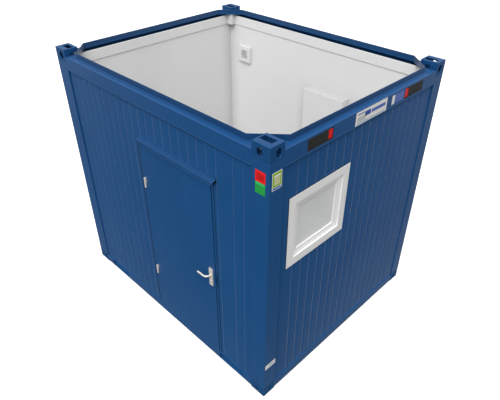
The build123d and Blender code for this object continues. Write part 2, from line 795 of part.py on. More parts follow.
def door_frame():
    """Frame, threshold, canopy, seal and keeper, all fixed to the front wall."""
    left, right = door_span()
    foot, top, frame_top = door_levels()
    face = FRAME_FACE_DEPTH
    stop_face = DOOR_FACE_DEPTH + DOOR_THICKNESS + RUNNING_GAP + SEAL_THICKNESS
    inner_left = left + HINGE_JAMB
    inner_right = right - LOCK_JAMB
    clear_left = inner_left + STOP_WIDTH
    clear_right = inner_right - STOP_WIDTH
    head = top + DOOR_GAP
    head_stop = head - STOP_WIDTH

    keeper_low = LEVER_LEVEL - CYLINDER_DROP - KEEPER_MARGIN
    keeper_high = LEVER_LEVEL + KEEPER_MARGIN
    bars = [
        block(left, inner_left, face, WALL_INNER, RAIL_TOP, frame_top),
        block(inner_right, right, face, WALL_INNER, RAIL_TOP, keeper_low),
        block(inner_right, right, face, WALL_INNER, keeper_high, frame_top),
        block(inner_left, inner_right, face, WALL_INNER, head, frame_top),
        block(inner_left, clear_left, stop_face, WALL_INNER, RAIL_TOP, head),
        block(clear_right, inner_right, stop_face, WALL_INNER, RAIL_TOP, head),
        block(clear_left, clear_right, stop_face, WALL_INNER, head_stop, head),
    ]
    NODES["door_frame"] = place("front", group(*bars))

    pocket_right = inner_right + BOLT_THROW
    lock_depth = DOOR_FACE_DEPTH + DOOR_THICKNESS / 2
    pocket_back = lock_depth + LOCK_THICKNESS / 2
    keeper_side = block(pocket_right, right, face, WALL_INNER, keeper_low, keeper_high)
    keeper_back = block(inner_right, pocket_right, pocket_back, WALL_INNER, keeper_low, keeper_high)
    NODES["door_keeper"] = place("front", group(keeper_side, keeper_back))

    sill_top = RAIL_TOP + THRESHOLD_HEIGHT
    sill = block(clear_left, clear_right, stop_face, WALL_INNER, RAIL_TOP, sill_top)
    NODES["door_threshold"] = place("front", sill)

    door_right = DOOR_LEFT + DOOR_WIDTH
    seal_back = stop_face - SEAL_THICKNESS
    seal = block(DOOR_LEFT, door_right, seal_back, stop_face, foot, top)
    seal -= block(
        DOOR_LEFT + SEAL_WIDTH, door_right - SEAL_WIDTH, seal_back, stop_face,
        foot + SEAL_WIDTH, top - SEAL_WIDTH,
    )
    NODES["door_seal"] = place("front", seal)

    front = face - CANOPY_REACH
    sheet = CANOPY_SHEET
    nose = frame_top - CANOPY_FALL
    section = [
        (face, frame_top),
        (front, nose),
        (front, nose - CANOPY_FOLD),
        (front + sheet, nose - CANOPY_FOLD),
        (front + sheet, nose - sheet),
        (face - sheet, frame_top - sheet),
        (face - sheet, frame_top - CANOPY_FLANGE),
        (face, frame_top - CANOPY_FLANGE),
    ]
    canopy_left = DOOR_LEFT - CANOPY_PAST_HINGES
    canopy_right = door_right + CANOPY_PAST_LOCK
    NODES["door_canopy"] = place("front", bar(section, canopy_left, canopy_right))


def door_leaf():
    """Door leaf with its hinge leaves, lock, plates, levers, bolts and thumb turn."""
    foot, top = door_levels()[:2]
    door_right = DOOR_LEFT + DOOR_WIDTH
    near = DOOR_FACE_DEPTH
    far = near + DOOR_THICKNESS
    mid = (near + far) / 2
    spindle_x = door_right - BACKSET
    cylinder_level = LEVER_LEVEL - CYLINDER_DROP

    leaf = block(DOOR_LEFT, door_right, near, far, foot, top)
    leaf -= block(
        DOOR_LEFT + DOOR_SHEET, door_right - DOOR_SHEET, near + DOOR_SHEET, far - DOOR_SHEET,
        foot + DOOR_SHEET, top - DOOR_SHEET,
    )
    leaf -= rod_y(SPINDLE_RADIUS + RUNNING_GAP, near, far, spindle_x, LEVER_LEVEL)
    leaf -= rod_y(THUMBTURN_RADIUS + RUNNING_GAP, mid, far, spindle_x, cylinder_level)

    case_right = door_right - DOOR_SHEET
    case_left = case_right - LOCK_WIDTH
    case_top = LEVER_LEVEL + LOCK_ABOVE_LEVER
    case = block(
        case_left, case_right, mid - LOCK_THICKNESS / 2, mid + LOCK_THICKNESS / 2,
        case_top - LOCK_HEIGHT, case_top,
    )
    case -= rod_y(SPINDLE_RADIUS + PIN_CLEARANCE, near, far, spindle_x, LEVER_LEVEL)
    case -= rod_y(THUMBTURN_RADIUS + PIN_CLEARANCE, near, far, spindle_x, cylinder_level)

    latch_right = door_right + LATCH_THROW
    latch_left = latch_right - LATCH_LENGTH
    bolt_left = case_right - BOLT_LENGTH
    half = BOLT_THICKNESS / 2
    latch = block(
        latch_left, latch_right, mid - half, mid + half,
        LEVER_LEVEL - LATCH_HEIGHT / 2, LEVER_LEVEL + LATCH_HEIGHT / 2,
    )
    nose = latch.edges().filter_by(Axis.Z).group_by(Axis.X)[-1].sort_by(Axis.Y)[0]
    latch = chamfer(nose, LATCH_BEVEL)
    deadbolt = block(
        bolt_left, door_right, mid - half, mid + half,
        cylinder_level - BOLT_HEIGHT / 2, cylinder_level + BOLT_HEIGHT / 2,
    )
    gap = RUNNING_GAP
    latch_way = block(
        latch_left - LATCH_THROW - BLIND_RELIEF, door_right, mid - half - gap, mid + half + gap,
        LEVER_LEVEL - LATCH_HEIGHT / 2 - gap, LEVER_LEVEL + LATCH_HEIGHT / 2 + gap,
    )
    bolt_way = block(
        bolt_left - BLIND_RELIEF, door_right, mid - half - gap, mid + half + gap,
        cylinder_level - BOLT_HEIGHT / 2 - gap, cylinder_level + BOLT_HEIGHT / 2 + gap,
    )
    case = case - latch_way - bolt_way
    leaf = leaf - latch_way - bolt_way
    NODES["door_leaf"] = place("front", leaf)
    NODES["door_lock_case"] = place("front", case)
    NODES["latch_bolt"] = place("front", latch)
    NODES["deadbolt"] = place("front", deadbolt)

    plate_top = LEVER_LEVEL + PLATE_ABOVE_LEVER
    plates = []
    for side_near, side_far in ((near - PLATE_THICKNESS, near), (far, far + PLATE_THICKNESS)):
        plate = block(
            spindle_x - PLATE_WIDTH / 2, spindle_x + PLATE_WIDTH / 2, side_near, side_far,
            plate_top - PLATE_HEIGHT, plate_top,
        )
        plate = fillet(plate.edges().filter_by(Axis.Y), PLATE_ROUND)
        plate -= rod_y(LEVER_RADIUS + PIN_CLEARANCE, side_near, side_far, spindle_x, LEVER_LEVEL)
        plates.append(plate)
    plates[1] -= rod_y(
        THUMBTURN_RADIUS + PIN_CLEARANCE, far, far + PLATE_THICKNESS, spindle_x, cylinder_level
    )
    keyway_front = near - PLATE_THICKNESS - KEYWAY_PROUD
    plates[0] += rod_y(THUMBTURN_RADIUS, keyway_front, near - PLATE_THICKNESS, spindle_x, cylinder_level)
    NODES["door_handle_plates"] = place("front", group(*plates))

    def lever(seat, outward):
        foot = (spindle_x, seat, LEVER_LEVEL)
        elbow = (spindle_x, seat + outward * LEVER_REACH, LEVER_LEVEL)
        tip = (spindle_x - LEVER_LENGTH, seat + outward * LEVER_REACH, LEVER_LEVEL)
        path = FilletPolyline(foot, elbow, tip, radius=LEVER_BEND)
        shape = sweep(Plane(foot, z_dir=(0, outward, 0)) * Circle(LEVER_RADIUS), path=path)
        shape += Pos(*tip) * Sphere(LEVER_RADIUS)
        return shape

    outer = lever(near - gap, -1)
    outer += rod_y(SPINDLE_RADIUS, near - gap, far + gap, spindle_x, LEVER_LEVEL)
    NODES["door_levers"] = place("front", group(outer, lever(far + gap, 1)))

    seat = far + PLATE_THICKNESS
    turn = rod_y(
        THUMBTURN_RADIUS, mid - LOCK_THICKNESS / 2, seat + THUMBTURN_HUB, spindle_x, cylinder_level
    )
    wing = THUMBTURN_WING / 2
    thin = THUMBTURN_RADIUS / 2
    turn += block(
        spindle_x - thin, spindle_x + thin, seat + gap, seat + THUMBTURN_REACH,
        cylinder_level - wing, cylinder_level + wing,
    )
    NODES["lock_thumbturn"] = place("front", turn)
    door_hinges()


def door_hinges():
    """Barrel hinges: lower knuckles with pins on the frame and upper knuckles on the door."""
    axis_x = DOOR_LEFT - DOOR_GAP / 2
    axis_depth = DOOR_FACE_DEPTH - HINGE_RADIUS
    frame_face = FRAME_FACE_DEPTH
    fixed = []
    moving = []
    for level in HINGE_LEVELS:
        low = level - HINGE_LENGTH / 2
        high = level + HINGE_LENGTH / 2
        lower_end = level - HINGE_SPLIT_GAP / 2
        upper_start = level + HINGE_SPLIT_GAP / 2
        web_right = DOOR_LEFT - DOOR_GAP - HINGE_SPLIT_GAP
        knuckle = rod_z(HINGE_RADIUS, low, lower_end, axis_x, axis_depth)
        knuckle += block(
            web_right - HINGE_RADIUS, web_right, axis_depth, frame_face, low, lower_end
        )
        knuckle += rod_z(HINGE_PIN_RADIUS, low, high, axis_x, axis_depth)
        fixed.append(knuckle)
        tab_right = axis_x + HINGE_RADIUS + HINGE_SPLIT_GAP
        face = DOOR_FACE_DEPTH
        socket = rod_z(HINGE_RADIUS, upper_start, high, axis_x, axis_depth)
        socket += block(axis_x, tab_right, face - HINGE_TAB, face, upper_start, high)
        socket -= rod_z(HINGE_PIN_RADIUS + PIN_CLEARANCE, low, high, axis_x, axis_depth)
        moving.append(socket)
    NODES["door_hinge_frame_leaves"] = place("front", group(*fixed))
    NODES["door_hinge_door_leaves"] = place("front", group(*moving))


def ring(left, right, bottom, top, width, height_bar, near, far):
    """A rectangular frame with side bars of one width and top and bottom bars of another."""
    outer = block(left, right, near, far, bottom, top)
    return outer - block(left + width, right - width, near, far, bottom + height_bar, top - height_bar)


def window():
    """Window frame, tilting sash, its two panes and its handle."""
    left = WINDOW_LEFT
    right = left + WINDOW_WIDTH
    bottom = WINDOW_BOTTOM
    top = bottom + WINDOW_HEIGHT
    seat = SKIN_DEPTH
    lip_back = SASH_FACE_DEPTH - SASH_STOP_GAP
    flange = ring(left, right, bottom, top, WINDOW_BAR, WINDOW_BAR, seat - WINDOW_FLANGE, seat)
    hole_left, hole_right, hole_low, hole_high = window_hole()
    lip = WINDOW_BAR - WINDOW_OVERLAP
    frame = flange + ring(hole_left, hole_right, hole_low, hole_high, lip, lip, seat, lip_back)
    rebate = lip - SASH_REBATE
    frame += ring(hole_left, hole_right, hole_low, hole_high, rebate, rebate, lip_back, WALL_INNER)

    inset = rebate + SASH_GAP
    sash_left = hole_left + inset
    sash_right = hole_right - inset
    sash_low = hole_low + inset
    sash_high = hole_high - inset
    sash_back = SASH_FACE_DEPTH + SASH_THICKNESS
    sash = ring(
        sash_left, sash_right, sash_low, sash_high, SASH_BAR, SASH_BAR, SASH_FACE_DEPTH, sash_back
    )
    bite = SASH_BAR - GLASS_BITE
    glass_near = SASH_FACE_DEPTH + GLASS_SETBACK
    glass_far = glass_near + GLASS_THICKNESS
    glass_edges = (sash_left + bite, sash_right - bite, sash_low + bite, sash_high - bite)
    glass_left, glass_right, glass_low, glass_high = glass_edges
    sash -= block(glass_left, glass_right, glass_near, glass_far, glass_low, glass_high)
    panes = [
        block(glass_left, glass_right, near, near + PANE, glass_low, glass_high)
        for near in (glass_near, glass_far - PANE)
    ]

    pin_depth = sash_back - SASH_PIN_SETBACK
    pin_level = sash_low + SASH_PIN_LEVEL
    for end, inward in ((hole_left + rebate, 1), (hole_right - rebate, -1)):
        low_end, high_end = sorted((end, end + inward * (SASH_GAP + SASH_PIN_LENGTH)))
        frame += rod_x(SASH_PIN_RADIUS, low_end, high_end, pin_depth, pin_level)
        way_start = low_end - BLIND_RELIEF
        way_end = high_end + BLIND_RELIEF
        sash -= rod_x(SASH_PIN_RADIUS + PIN_CLEARANCE, way_start, way_end, pin_depth, pin_level)

    middle = (sash_left + sash_right) / 2
    grip_level = sash_high - SASH_BAR / 2
    pin_start = sash_back - WINDOW_HANDLE_DEPTH
    pin_foot = pin_start - BLIND_RELIEF
    sash -= rod_y(WINDOW_HANDLE_PIN + PIN_CLEARANCE, pin_foot, sash_back, middle, grip_level)
    neck_end = sash_back + WINDOW_HANDLE_NECK
    half = WINDOW_HANDLE_WIDTH / 2
    handle = rod_y(WINDOW_HANDLE_PIN, pin_start, sash_back + RUNNING_GAP, middle, grip_level)
    handle += rod_y(half, sash_back + RUNNING_GAP, neck_end, middle, grip_level)
    handle += block(
        middle - half, middle + half, neck_end - half, neck_end,
        grip_level - WINDOW_HANDLE_LENGTH, grip_level,
    )
    NODES["window_frame"] = place("right", frame)
    NODES["window_sash"] = place("right", sash)
    NODES["window_panes"] = place("right", group(*panes))
    NODES["window_handle"] = place("right", handle)


def power_boxes():
    """Recessed boxes in the roof beam with a red connector and a hinged lid each."""
    wall = POWER_WALL
    low = POWER_LEVEL
    high = low + POWER_HEIGHT
    boxes = []
    connectors = []
    lid_radius = LID_THICKNESS
    axis_level = high - wall - lid_radius - LID_INSET
    axis_depth = LID_INSET + lid_radius
    spans = power_boxes_span()
    for name, (left, right), inner_end in (("left", spans[0], 1), ("right", spans[1], -1)):
        box = block(left, right, 0, POWER_DEPTH, low, high)
        box -= block(left + wall, right - wall, 0, POWER_DEPTH - wall, low + wall, high - wall)
        bay = CONNECTOR_WIDTH + 2 * CONNECTOR_INSET
        if inner_end > 0:
            divider = (right - wall - bay - wall, right - wall - bay)
            lid_ends = (left + wall, divider[0])
            bay_left = divider[1]
        else:
            divider = (left + wall + bay, left + wall + bay + wall)
            lid_ends = (divider[1], right - wall)
            bay_left = left + wall
        box += block(*divider, 0, POWER_DEPTH - wall, low + wall, high - wall)
        pin_left = lid_ends[0] - wall
        pin_right = lid_ends[1] + wall
        box -= rod_x(LID_PIN_RADIUS + PIN_CLEARANCE, pin_left, pin_right, axis_depth, axis_level)
        boxes.append(box)
        connectors.append(
            block(
                bay_left + CONNECTOR_INSET, bay_left + CONNECTOR_INSET + CONNECTOR_WIDTH,
                CONNECTOR_INSET, POWER_DEPTH - wall,
                low + CONNECTOR_MARGIN, high - CONNECTOR_MARGIN,
            )
        )
        lid_left = lid_ends[0] + RUNNING_GAP
        lid_right = lid_ends[1] - RUNNING_GAP
        lid_foot = low + wall + LID_INSET
        lid = block(lid_left, lid_right, LID_INSET, LID_INSET + LID_THICKNESS, lid_foot, axis_level)
        lid += rod_x(lid_radius, lid_left, lid_right, axis_depth, axis_level)
        lid += rod_x(LID_PIN_RADIUS, pin_left, pin_right, axis_depth, axis_level)
        NODES["power_lid_" + name] = place("right", lid)
    NODES["power_boxes"] = place("right", group(*boxes))
    NODES["power_connectors"] = place("right", group(*connectors))


def fan():
    """Fan covers, duct with motor, and impeller in the back wall."""
    wall_face = ROOM_Y
    outside = WIDTH / 2 - SKIN_DEPTH
    cover_near = wall_face - FAN_COVER_DEPTH
    half_w = FAN_COVER_WIDTH / 2
    half_h = FAN_COVER_HEIGHT / 2
    skin = FAN_COVER_WALL
    cover = block(
        FAN_X - half_w, FAN_X + half_w, cover_near, wall_face, FAN_LEVEL - half_h, FAN_LEVEL + half_h
    )
    cover -= block(
        FAN_X - half_w + skin, FAN_X + half_w - skin, cover_near + skin, wall_face,
        FAN_LEVEL - half_h + skin, FAN_LEVEL + half_h - skin,
    )
    slot_half = FAN_DUCT_RADIUS
    slot_pitch = slot_half * 2 / FAN_SLOTS
    for row in range(FAN_SLOTS):
        level = FAN_LEVEL - slot_half + slot_pitch * (row + 0.5)
        cover -= block(
            FAN_X - slot_half, FAN_X + slot_half, cover_near, cover_near + skin,
            level - slot_pitch / 4, level + slot_pitch / 4,
        )
    half = FAN_GRILLE / 2
    grille_far = outside + FAN_GRILLE_DEPTH
    grille = block(
        FAN_X - half, FAN_X + half, outside, grille_far, FAN_LEVEL - half, FAN_LEVEL + half
    )
    grille -= rod_y(
        FAN_DUCT_RADIUS - FAN_DUCT_WALL, outside, grille_far - skin, FAN_X, FAN_LEVEL
    )
    for row in range(FAN_SLOTS):
        level = FAN_LEVEL - slot_half + slot_pitch * (row + 0.5)
        width = math.sqrt(slot_half ** 2 - (level - FAN_LEVEL) ** 2) - skin
        grille -= block(
            FAN_X - width, FAN_X + width, grille_far - skin, grille_far,
            level - slot_pitch / 4, level + slot_pitch / 4,
        )
    NODES["fan_covers"] = group(cover, grille)

    bore = FAN_DUCT_RADIUS - FAN_DUCT_WALL
    duct = rod_y(FAN_DUCT_RADIUS, wall_face, outside, FAN_X, FAN_LEVEL)
    duct -= rod_y(bore, wall_face, outside, FAN_X, FAN_LEVEL)
    motor_far = outside - FAN_GRILLE_DEPTH
    motor_near = motor_far - FAN_MOTOR_LENGTH
    motor = rod_y(FAN_MOTOR_RADIUS, motor_near, motor_far, FAN_X, FAN_LEVEL)
    strut = block(0, bore + FAN_DUCT_WALL / 2, motor_near, motor_far, -FAN_DUCT_WALL, FAN_DUCT_WALL)
    for turn in (90, 210, 330):
        motor += Pos(FAN_X, 0, FAN_LEVEL) * Rot(0, turn, 0) * strut
    motor += duct
    shaft_end = motor_near + FAN_MOTOR_LENGTH / 2
    motor -= rod_y(FAN_SHAFT_RADIUS + PIN_CLEARANCE, motor_near, shaft_end + BLIND_RELIEF, FAN_X, FAN_LEVEL)
    NODES["fan_motor"] = motor

    hub_far = motor_near - RUNNING_GAP
    hub_near = hub_far - FAN_HUB_LENGTH
    impeller = rod_y(FAN_HUB_RADIUS, hub_near, hub_far, 0, 0)
    impeller += rod_y(FAN_SHAFT_RADIUS, hub_far, shaft_end, 0, 0)
    tip = bore - FAN_TIP_GAP
    blade = Box(tip - FAN_HUB_RADIUS / 2, FAN_BLADE_CHORD, FAN_DUCT_WALL)
    blade = Pos((tip + FAN_HUB_RADIUS / 2) / 2, 0, 0) * Rot(FAN_BLADE_PITCH, 0, 0) * blade
    blade = Pos(0, (hub_near + hub_far) / 2, 0) * blade
    for k in range(FAN_BLADES):
        impeller += Rot(0, k * 360 / FAN_BLADES, 0) * blade
    NODES["fan_impeller"] = Pos(FAN_X, 0, FAN_LEVEL) * impeller


def cabinet():
    """Wall cabinet above the basin, with a shelf and a hinged door."""
    left = BASIN_X - CABINET_WIDTH / 2
    right = left + CABINET_WIDTH
    top = CABINET_TOP
    bottom = top - CABINET_HEIGHT
    panel = CABINET_PANEL
    front = ROOM_Y - CABINET_DEPTH
    door_back = front + panel
    case_front = door_back + RUNNING_GAP
    case = block(left, right, case_front, ROOM_Y, bottom, top)
    middle = (bottom + top) / 2
    for low, high in ((bottom + panel, middle - panel / 2), (middle + panel / 2, top - panel)):
        case -= block(left + panel, right - panel, case_front, ROOM_Y - panel / 2, low, high)
    axis_x = left + panel / 2
    axis_y = front + panel / 2
    for low, high in ((bottom, bottom + CABINET_LUG), (top - CABINET_LUG, top)):
        lug = block(left, left + panel, front, case_front, low, high)
        case += lug - rod_z(CABINET_PIN_RADIUS + PIN_CLEARANCE, low, high, axis_x, axis_y)
    NODES["wall_cabinet"] = case

    door_low = bottom + CABINET_LUG + RUNNING_GAP
    door_high = top - CABINET_LUG - RUNNING_GAP
    door = block(axis_x, right, front, door_back, door_low, door_high)
    door += rod_z(panel / 2, door_low, door_high, axis_x, axis_y)
    door += rod_z(CABINET_PIN_RADIUS, bottom, top, axis_x, axis_y)
    NODES["cabinet_door"] = door


def basin_and_fittings():
    """Wash basin, tap with its lever, and the shower's valve, riser and head."""
    wall = ROOM_Y
    foot = BASIN_RIM - BASIN_HEIGHT
    rim = RectangleRounded(BASIN_WIDTH, BASIN_DEPTH, BASIN_DEPTH / 6)
    base = RectangleRounded(BASIN_FOOT_WIDTH, BASIN_FOOT_DEPTH, BASIN_FOOT_DEPTH / 6)
    basin = loft(
        [
            Pos(BASIN_X, wall - BASIN_FOOT_DEPTH / 2, foot) * base,
            Pos(BASIN_X, wall - BASIN_DEPTH / 2, BASIN_RIM) * rim,
        ]
    )
    mouth = RectangleRounded(BOWL_WIDTH, BOWL_LENGTH, BOWL_LENGTH / 4)
    sump = RectangleRounded(BOWL_FOOT_WIDTH, BOWL_FOOT_LENGTH, BOWL_FOOT_LENGTH / 4)
    bowl = loft(
        [
            Pos(BASIN_X, BOWL_Y, BASIN_RIM - BOWL_DEPTH) * sump,
            Pos(BASIN_X, BOWL_Y, BASIN_RIM) * mouth,
        ]
    )
    drain = rod_z(WASTE_RADIUS - WASTE_WALL, foot, BASIN_RIM - BOWL_DEPTH, BASIN_X, BOWL_Y)
    NODES["wash_basin"] = basin - bowl - drain

    tap_y = wall - TAP_FROM_WALL
    tap_top = BASIN_RIM + TAP_HEIGHT
    tap = rod_z(TAP_RADIUS, BASIN_RIM, tap_top, BASIN_X, tap_y)
    spout_level = tap_top - SPOUT_DROP
    spout_end = tap_y - SPOUT_REACH
    tap += rod_y(SPOUT_RADIUS, spout_end, tap_y, BASIN_X, spout_level)
    tap += rod_z(SPOUT_RADIUS, spout_level - SPOUT_RADIUS * 2, spout_level, BASIN_X, spout_end)
    tap += Pos(BASIN_X, spout_end, spout_level) * Sphere(SPOUT_RADIUS)
    pin_foot = tap_top - TAP_RADIUS
    tap -= rod_z(TAP_PIN_RADIUS + PIN_CLEARANCE, pin_foot - BLIND_RELIEF, tap_top, BASIN_X, tap_y)
    cap_foot = tap_top + RUNNING_GAP
    cap_top = cap_foot + TAP_RADIUS
    lever = rod_z(TAP_PIN_RADIUS, pin_foot, cap_foot, BASIN_X, tap_y)
    lever += rod_z(TAP_RADIUS, cap_foot, cap_top, BASIN_X, tap_y)
    lever += block(
        BASIN_X - SPOUT_RADIUS, BASIN_X + SPOUT_RADIUS, tap_y - TAP_LEVER_LENGTH, tap_y,
        cap_top - SPOUT_RADIUS, cap_top,
    )
    NODES["tap_lever"] = lever

    valve_y = -ROOM_Y + TRAY_WIDTH / 2
    half = VALVE_SIZE / 2
    valve_face = -ROOM_X + VALVE_DEPTH
    shower = block(
        -ROOM_X, valve_face, valve_y - half, valve_y + half, VALVE_LEVEL - half, VALVE_LEVEL + half
    )
    riser_x = -ROOM_X + VALVE_DEPTH / 2
    arm_level = SHOWER_HEAD_LEVEL + SHOWER_HEAD_RADIUS / 2
    head_x = riser_x + SHOWER_ARM
    shower += rod_z(RISER_RADIUS, VALVE_LEVEL, arm_level, riser_x, valve_y)
    shower += Pos(riser_x, valve_y, arm_level) * Sphere(RISER_RADIUS)
    shower += rod_x(RISER_RADIUS, -ROOM_X, head_x, valve_y, arm_level)
    shower += Pos(head_x, valve_y, arm_level) * Sphere(RISER_RADIUS)
    shower += rod_z(RISER_RADIUS, SHOWER_HEAD_LEVEL, arm_level, head_x, valve_y)
    head = Cone(SHOWER_HEAD_RADIUS, RISER_RADIUS, SHOWER_HEAD_RADIUS / 3)
    shower += Pos(head_x, valve_y, SHOWER_HEAD_LEVEL) * head
    pin_end = valve_face - VALVE_DEPTH / 4
    pin_foot = pin_end - BLIND_RELIEF
    shower -= rod_x(TAP_PIN_RADIUS + PIN_CLEARANCE, pin_foot, valve_face, valve_y, VALVE_LEVEL)
    NODES["chrome_fittings"] = group(tap, shower)

    knob_near = valve_face + RUNNING_GAP
    knob = rod_x(KNOB_RADIUS, knob_near, knob_near + KNOB_DEPTH, valve_y, VALVE_LEVEL)
    for k in range(KNOB_GRIPS):
        turn = Pos(0, valve_y, VALVE_LEVEL) * Rot(k * 360 / KNOB_GRIPS, 0, 0)
        knob -= turn * rod_x(
            KNOB_RADIUS / 6, knob_near + KNOB_DEPTH / 4, knob_near + KNOB_DEPTH, 0, KNOB_RADIUS
        )
    knob += rod_x(TAP_PIN_RADIUS, pin_end, knob_near, valve_y, VALVE_LEVEL)
    NODES["shower_knob"] = knob


def toilet():
    """Toilet bowl with cistern and hinge posts, its seat and its flush button."""
    top = FLOOR + TOILET_HEIGHT
    centre_x = -ROOM_X + TOILET_REACH - TOILET_LENGTH / 2
    long_radius = TOILET_LENGTH / 2
    wide_radius = TOILET_WIDTH / 2
    bowl = loft(
        [
            Pos(centre_x, TOILET_Y, FLOOR) * Ellipse(TOILET_FOOT_LENGTH / 2, TOILET_FOOT_WIDTH / 2),
            Pos(centre_x, TOILET_Y, top) * Ellipse(long_radius, wide_radius),
        ]
    )
    spine = TOILET_SPINE / 2
    bowl += block(-ROOM_X, centre_x, TOILET_Y - spine, TOILET_Y + spine, FLOOR, top)
    wall = CERAMIC_WALL
    bowl -= loft(
        [
            Pos(centre_x, TOILET_Y, top - TOILET_BOWL_DEPTH) * Ellipse(long_radius / 3, wide_radius / 3),
            Pos(centre_x, TOILET_Y, top) * Ellipse(long_radius - TOILET_RIM, wide_radius - TOILET_RIM),
        ]
    )
    bowl_back = centre_x - long_radius + TOILET_RIM
    hollow = spine - wall
    bowl -= block(
        -ROOM_X + wall, bowl_back - wall, TOILET_Y - hollow, TOILET_Y + hollow, FLOOR, top - wall
    )

    cistern_front = -ROOM_X + CISTERN_DEPTH
    cistern_top = top + CISTERN_HEIGHT
    half = CISTERN_WIDTH / 2
    cistern = block(-ROOM_X, cistern_front, TOILET_Y - half, TOILET_Y + half, top, cistern_top)
    cistern = fillet(cistern.edges().filter_by(Axis.Z).group_by(Axis.X)[-1], CISTERN_DEPTH / 6)
    button_x = -ROOM_X + CISTERN_DEPTH / 2
    cistern -= block(
        -ROOM_X + wall, cistern_front - wall, TOILET_Y - half + wall, TOILET_Y + half - wall,
        top + wall, cistern_top - BUTTON_RADIUS - BUTTON_TRAVEL - wall,
    )
    well = BUTTON_RADIUS + BUTTON_TRAVEL
    cistern -= rod_z(BUTTON_RADIUS + RUNNING_GAP, cistern_top - well, cistern_top, button_x, TOILET_Y)
    button_foot = cistern_top - BUTTON_RADIUS + BLIND_RELIEF
    button = rod_z(BUTTON_RADIUS, button_foot, cistern_top + BUTTON_TRAVEL, button_x, TOILET_Y)
    NODES["flush_button"] = button

    axis_x = -ROOM_X + SEAT_HINGE_REACH
    seat_foot = top + RUNNING_GAP
    axis_z = seat_foot + SEAT_THICKNESS / 2
    post_half = SEAT_PIN_RADIUS * 2
    post_near = spine - post_half * 2
    posts = []
    for low, high in ((-spine, -post_near), (post_near, spine)):
        post = block(
            axis_x - post_half, axis_x + post_half, TOILET_Y + low, TOILET_Y + high, top, axis_z
        )
        post += rod_y(post_half, TOILET_Y + low, TOILET_Y + high, axis_x, axis_z)
        post = post & block(
            axis_x - post_half, axis_x + post_half, TOILET_Y + low, TOILET_Y + high, top, axis_z + post_half
        )
        post -= rod_y(
            SEAT_PIN_RADIUS + PIN_CLEARANCE, TOILET_Y + low, TOILET_Y + high, axis_x, axis_z
        )
        posts.append(post)
    NODES["toilet"] = group(bowl, cistern, *posts)

    plate = Pos(centre_x, TOILET_Y, seat_foot) * extrude(Ellipse(long_radius, wide_radius), SEAT_THICKNESS)
    hole = Pos(centre_x, TOILET_Y, seat_foot) * extrude(
        Ellipse(long_radius - SEAT_RING, wide_radius - SEAT_RING), SEAT_THICKNESS
    )
    bridge = post_near - RUNNING_GAP
    seat = plate + block(
        axis_x, centre_x - long_radius + SEAT_RING / 2, TOILET_Y - bridge, TOILET_Y + bridge,
        seat_foot, seat_foot + SEAT_THICKNESS,
    )
    notch_end = axis_x + post_half + BLIND_RELIEF
    notch = spine + BLIND_RELIEF
    seat -= block(
        -ROOM_X, notch_end, TOILET_Y - notch, TOILET_Y + notch, seat_foot, seat_foot + SEAT_THICKNESS
    ) - block(
        axis_x, notch_end, TOILET_Y - bridge, TOILET_Y + bridge, seat_foot, seat_foot + SEAT_THICKNESS
    )
    seat -= hole
    seat += rod_y(SEAT_THICKNESS / 2, TOILET_Y - bridge, TOILET_Y + bridge, axis_x, axis_z)
    seat += rod_y(SEAT_PIN_RADIUS, TOILET_Y - spine, TOILET_Y + spine, axis_x, axis_z)
    NODES["toilet_seat"] = seat


def shower():
    """Shower tray, fixed screen with its hinge post, and the swinging shower door."""
    left = -ROOM_X
    right = left + TRAY_LENGTH
    near = -ROOM_Y
    far = near + TRAY_WIDTH
    tray_top = FLOOR + TRAY_HEIGHT
    tray = block(left, right, near, far, FLOOR, tray_top)
    well = block(
        left + TRAY_RIM, right - TRAY_RIM, near + TRAY_RIM, far - TRAY_RIM, tray_top - TRAY_DEPTH, tray_top
    )
    tray -= fillet(well.edges().filter_by(Axis.Z), TRAY_RIM)
    NODES["shower_tray"] = tray

    post_left = right - SCREEN_POST
    panel_near = far - SCREEN_THICKNESS
    screen = block(left, post_left, panel_near, far, tray_top, SCREEN_TOP)
    post_near = far - SCREEN_POST
    axis_x = post_left + SCREEN_POST / 2
    axis_y = post_near - SCREEN_POST / 2
    post = block(post_left, right, post_near, far, tray_top, SCREEN_TOP)
    lugs = ((tray_top, tray_top + SHOWER_LUG), (SCREEN_TOP - SHOWER_LUG, SCREEN_TOP))
    for low, high in lugs:
        lug = block(post_left, right, axis_y - SCREEN_POST / 2, post_near, low, high)
        post += lug - rod_z(SHOWER_PIN_RADIUS + PIN_CLEARANCE, low, high, axis_x, axis_y)
    NODES["shower_screens"] = group(screen, post)

    door_low = lugs[0][1] + RUNNING_GAP
    door_high = lugs[1][0] - RUNNING_GAP
    half = SCREEN_THICKNESS / 2
    door = block(axis_x - half, axis_x + half, near + SHOWER_DOOR_END_GAP, axis_y, door_low, door_high)
    door += rod_z(half, door_low, door_high, axis_x, axis_y)
    door += rod_z(SHOWER_PIN_RADIUS, tray_top, SCREEN_TOP, axis_x, axis_y)
    NODES["shower_door"] = door


def elbow(radius, centre, pipes):
    """A hollow ball fitting around the ends of the pipes that meet at a point."""
    ball = Pos(*centre) * (Sphere(radius * ELBOW_OUTSIDE) - Sphere(radius * ELBOW_INSIDE))
    for pipe in pipes:
        ball -= pipe
    return ball


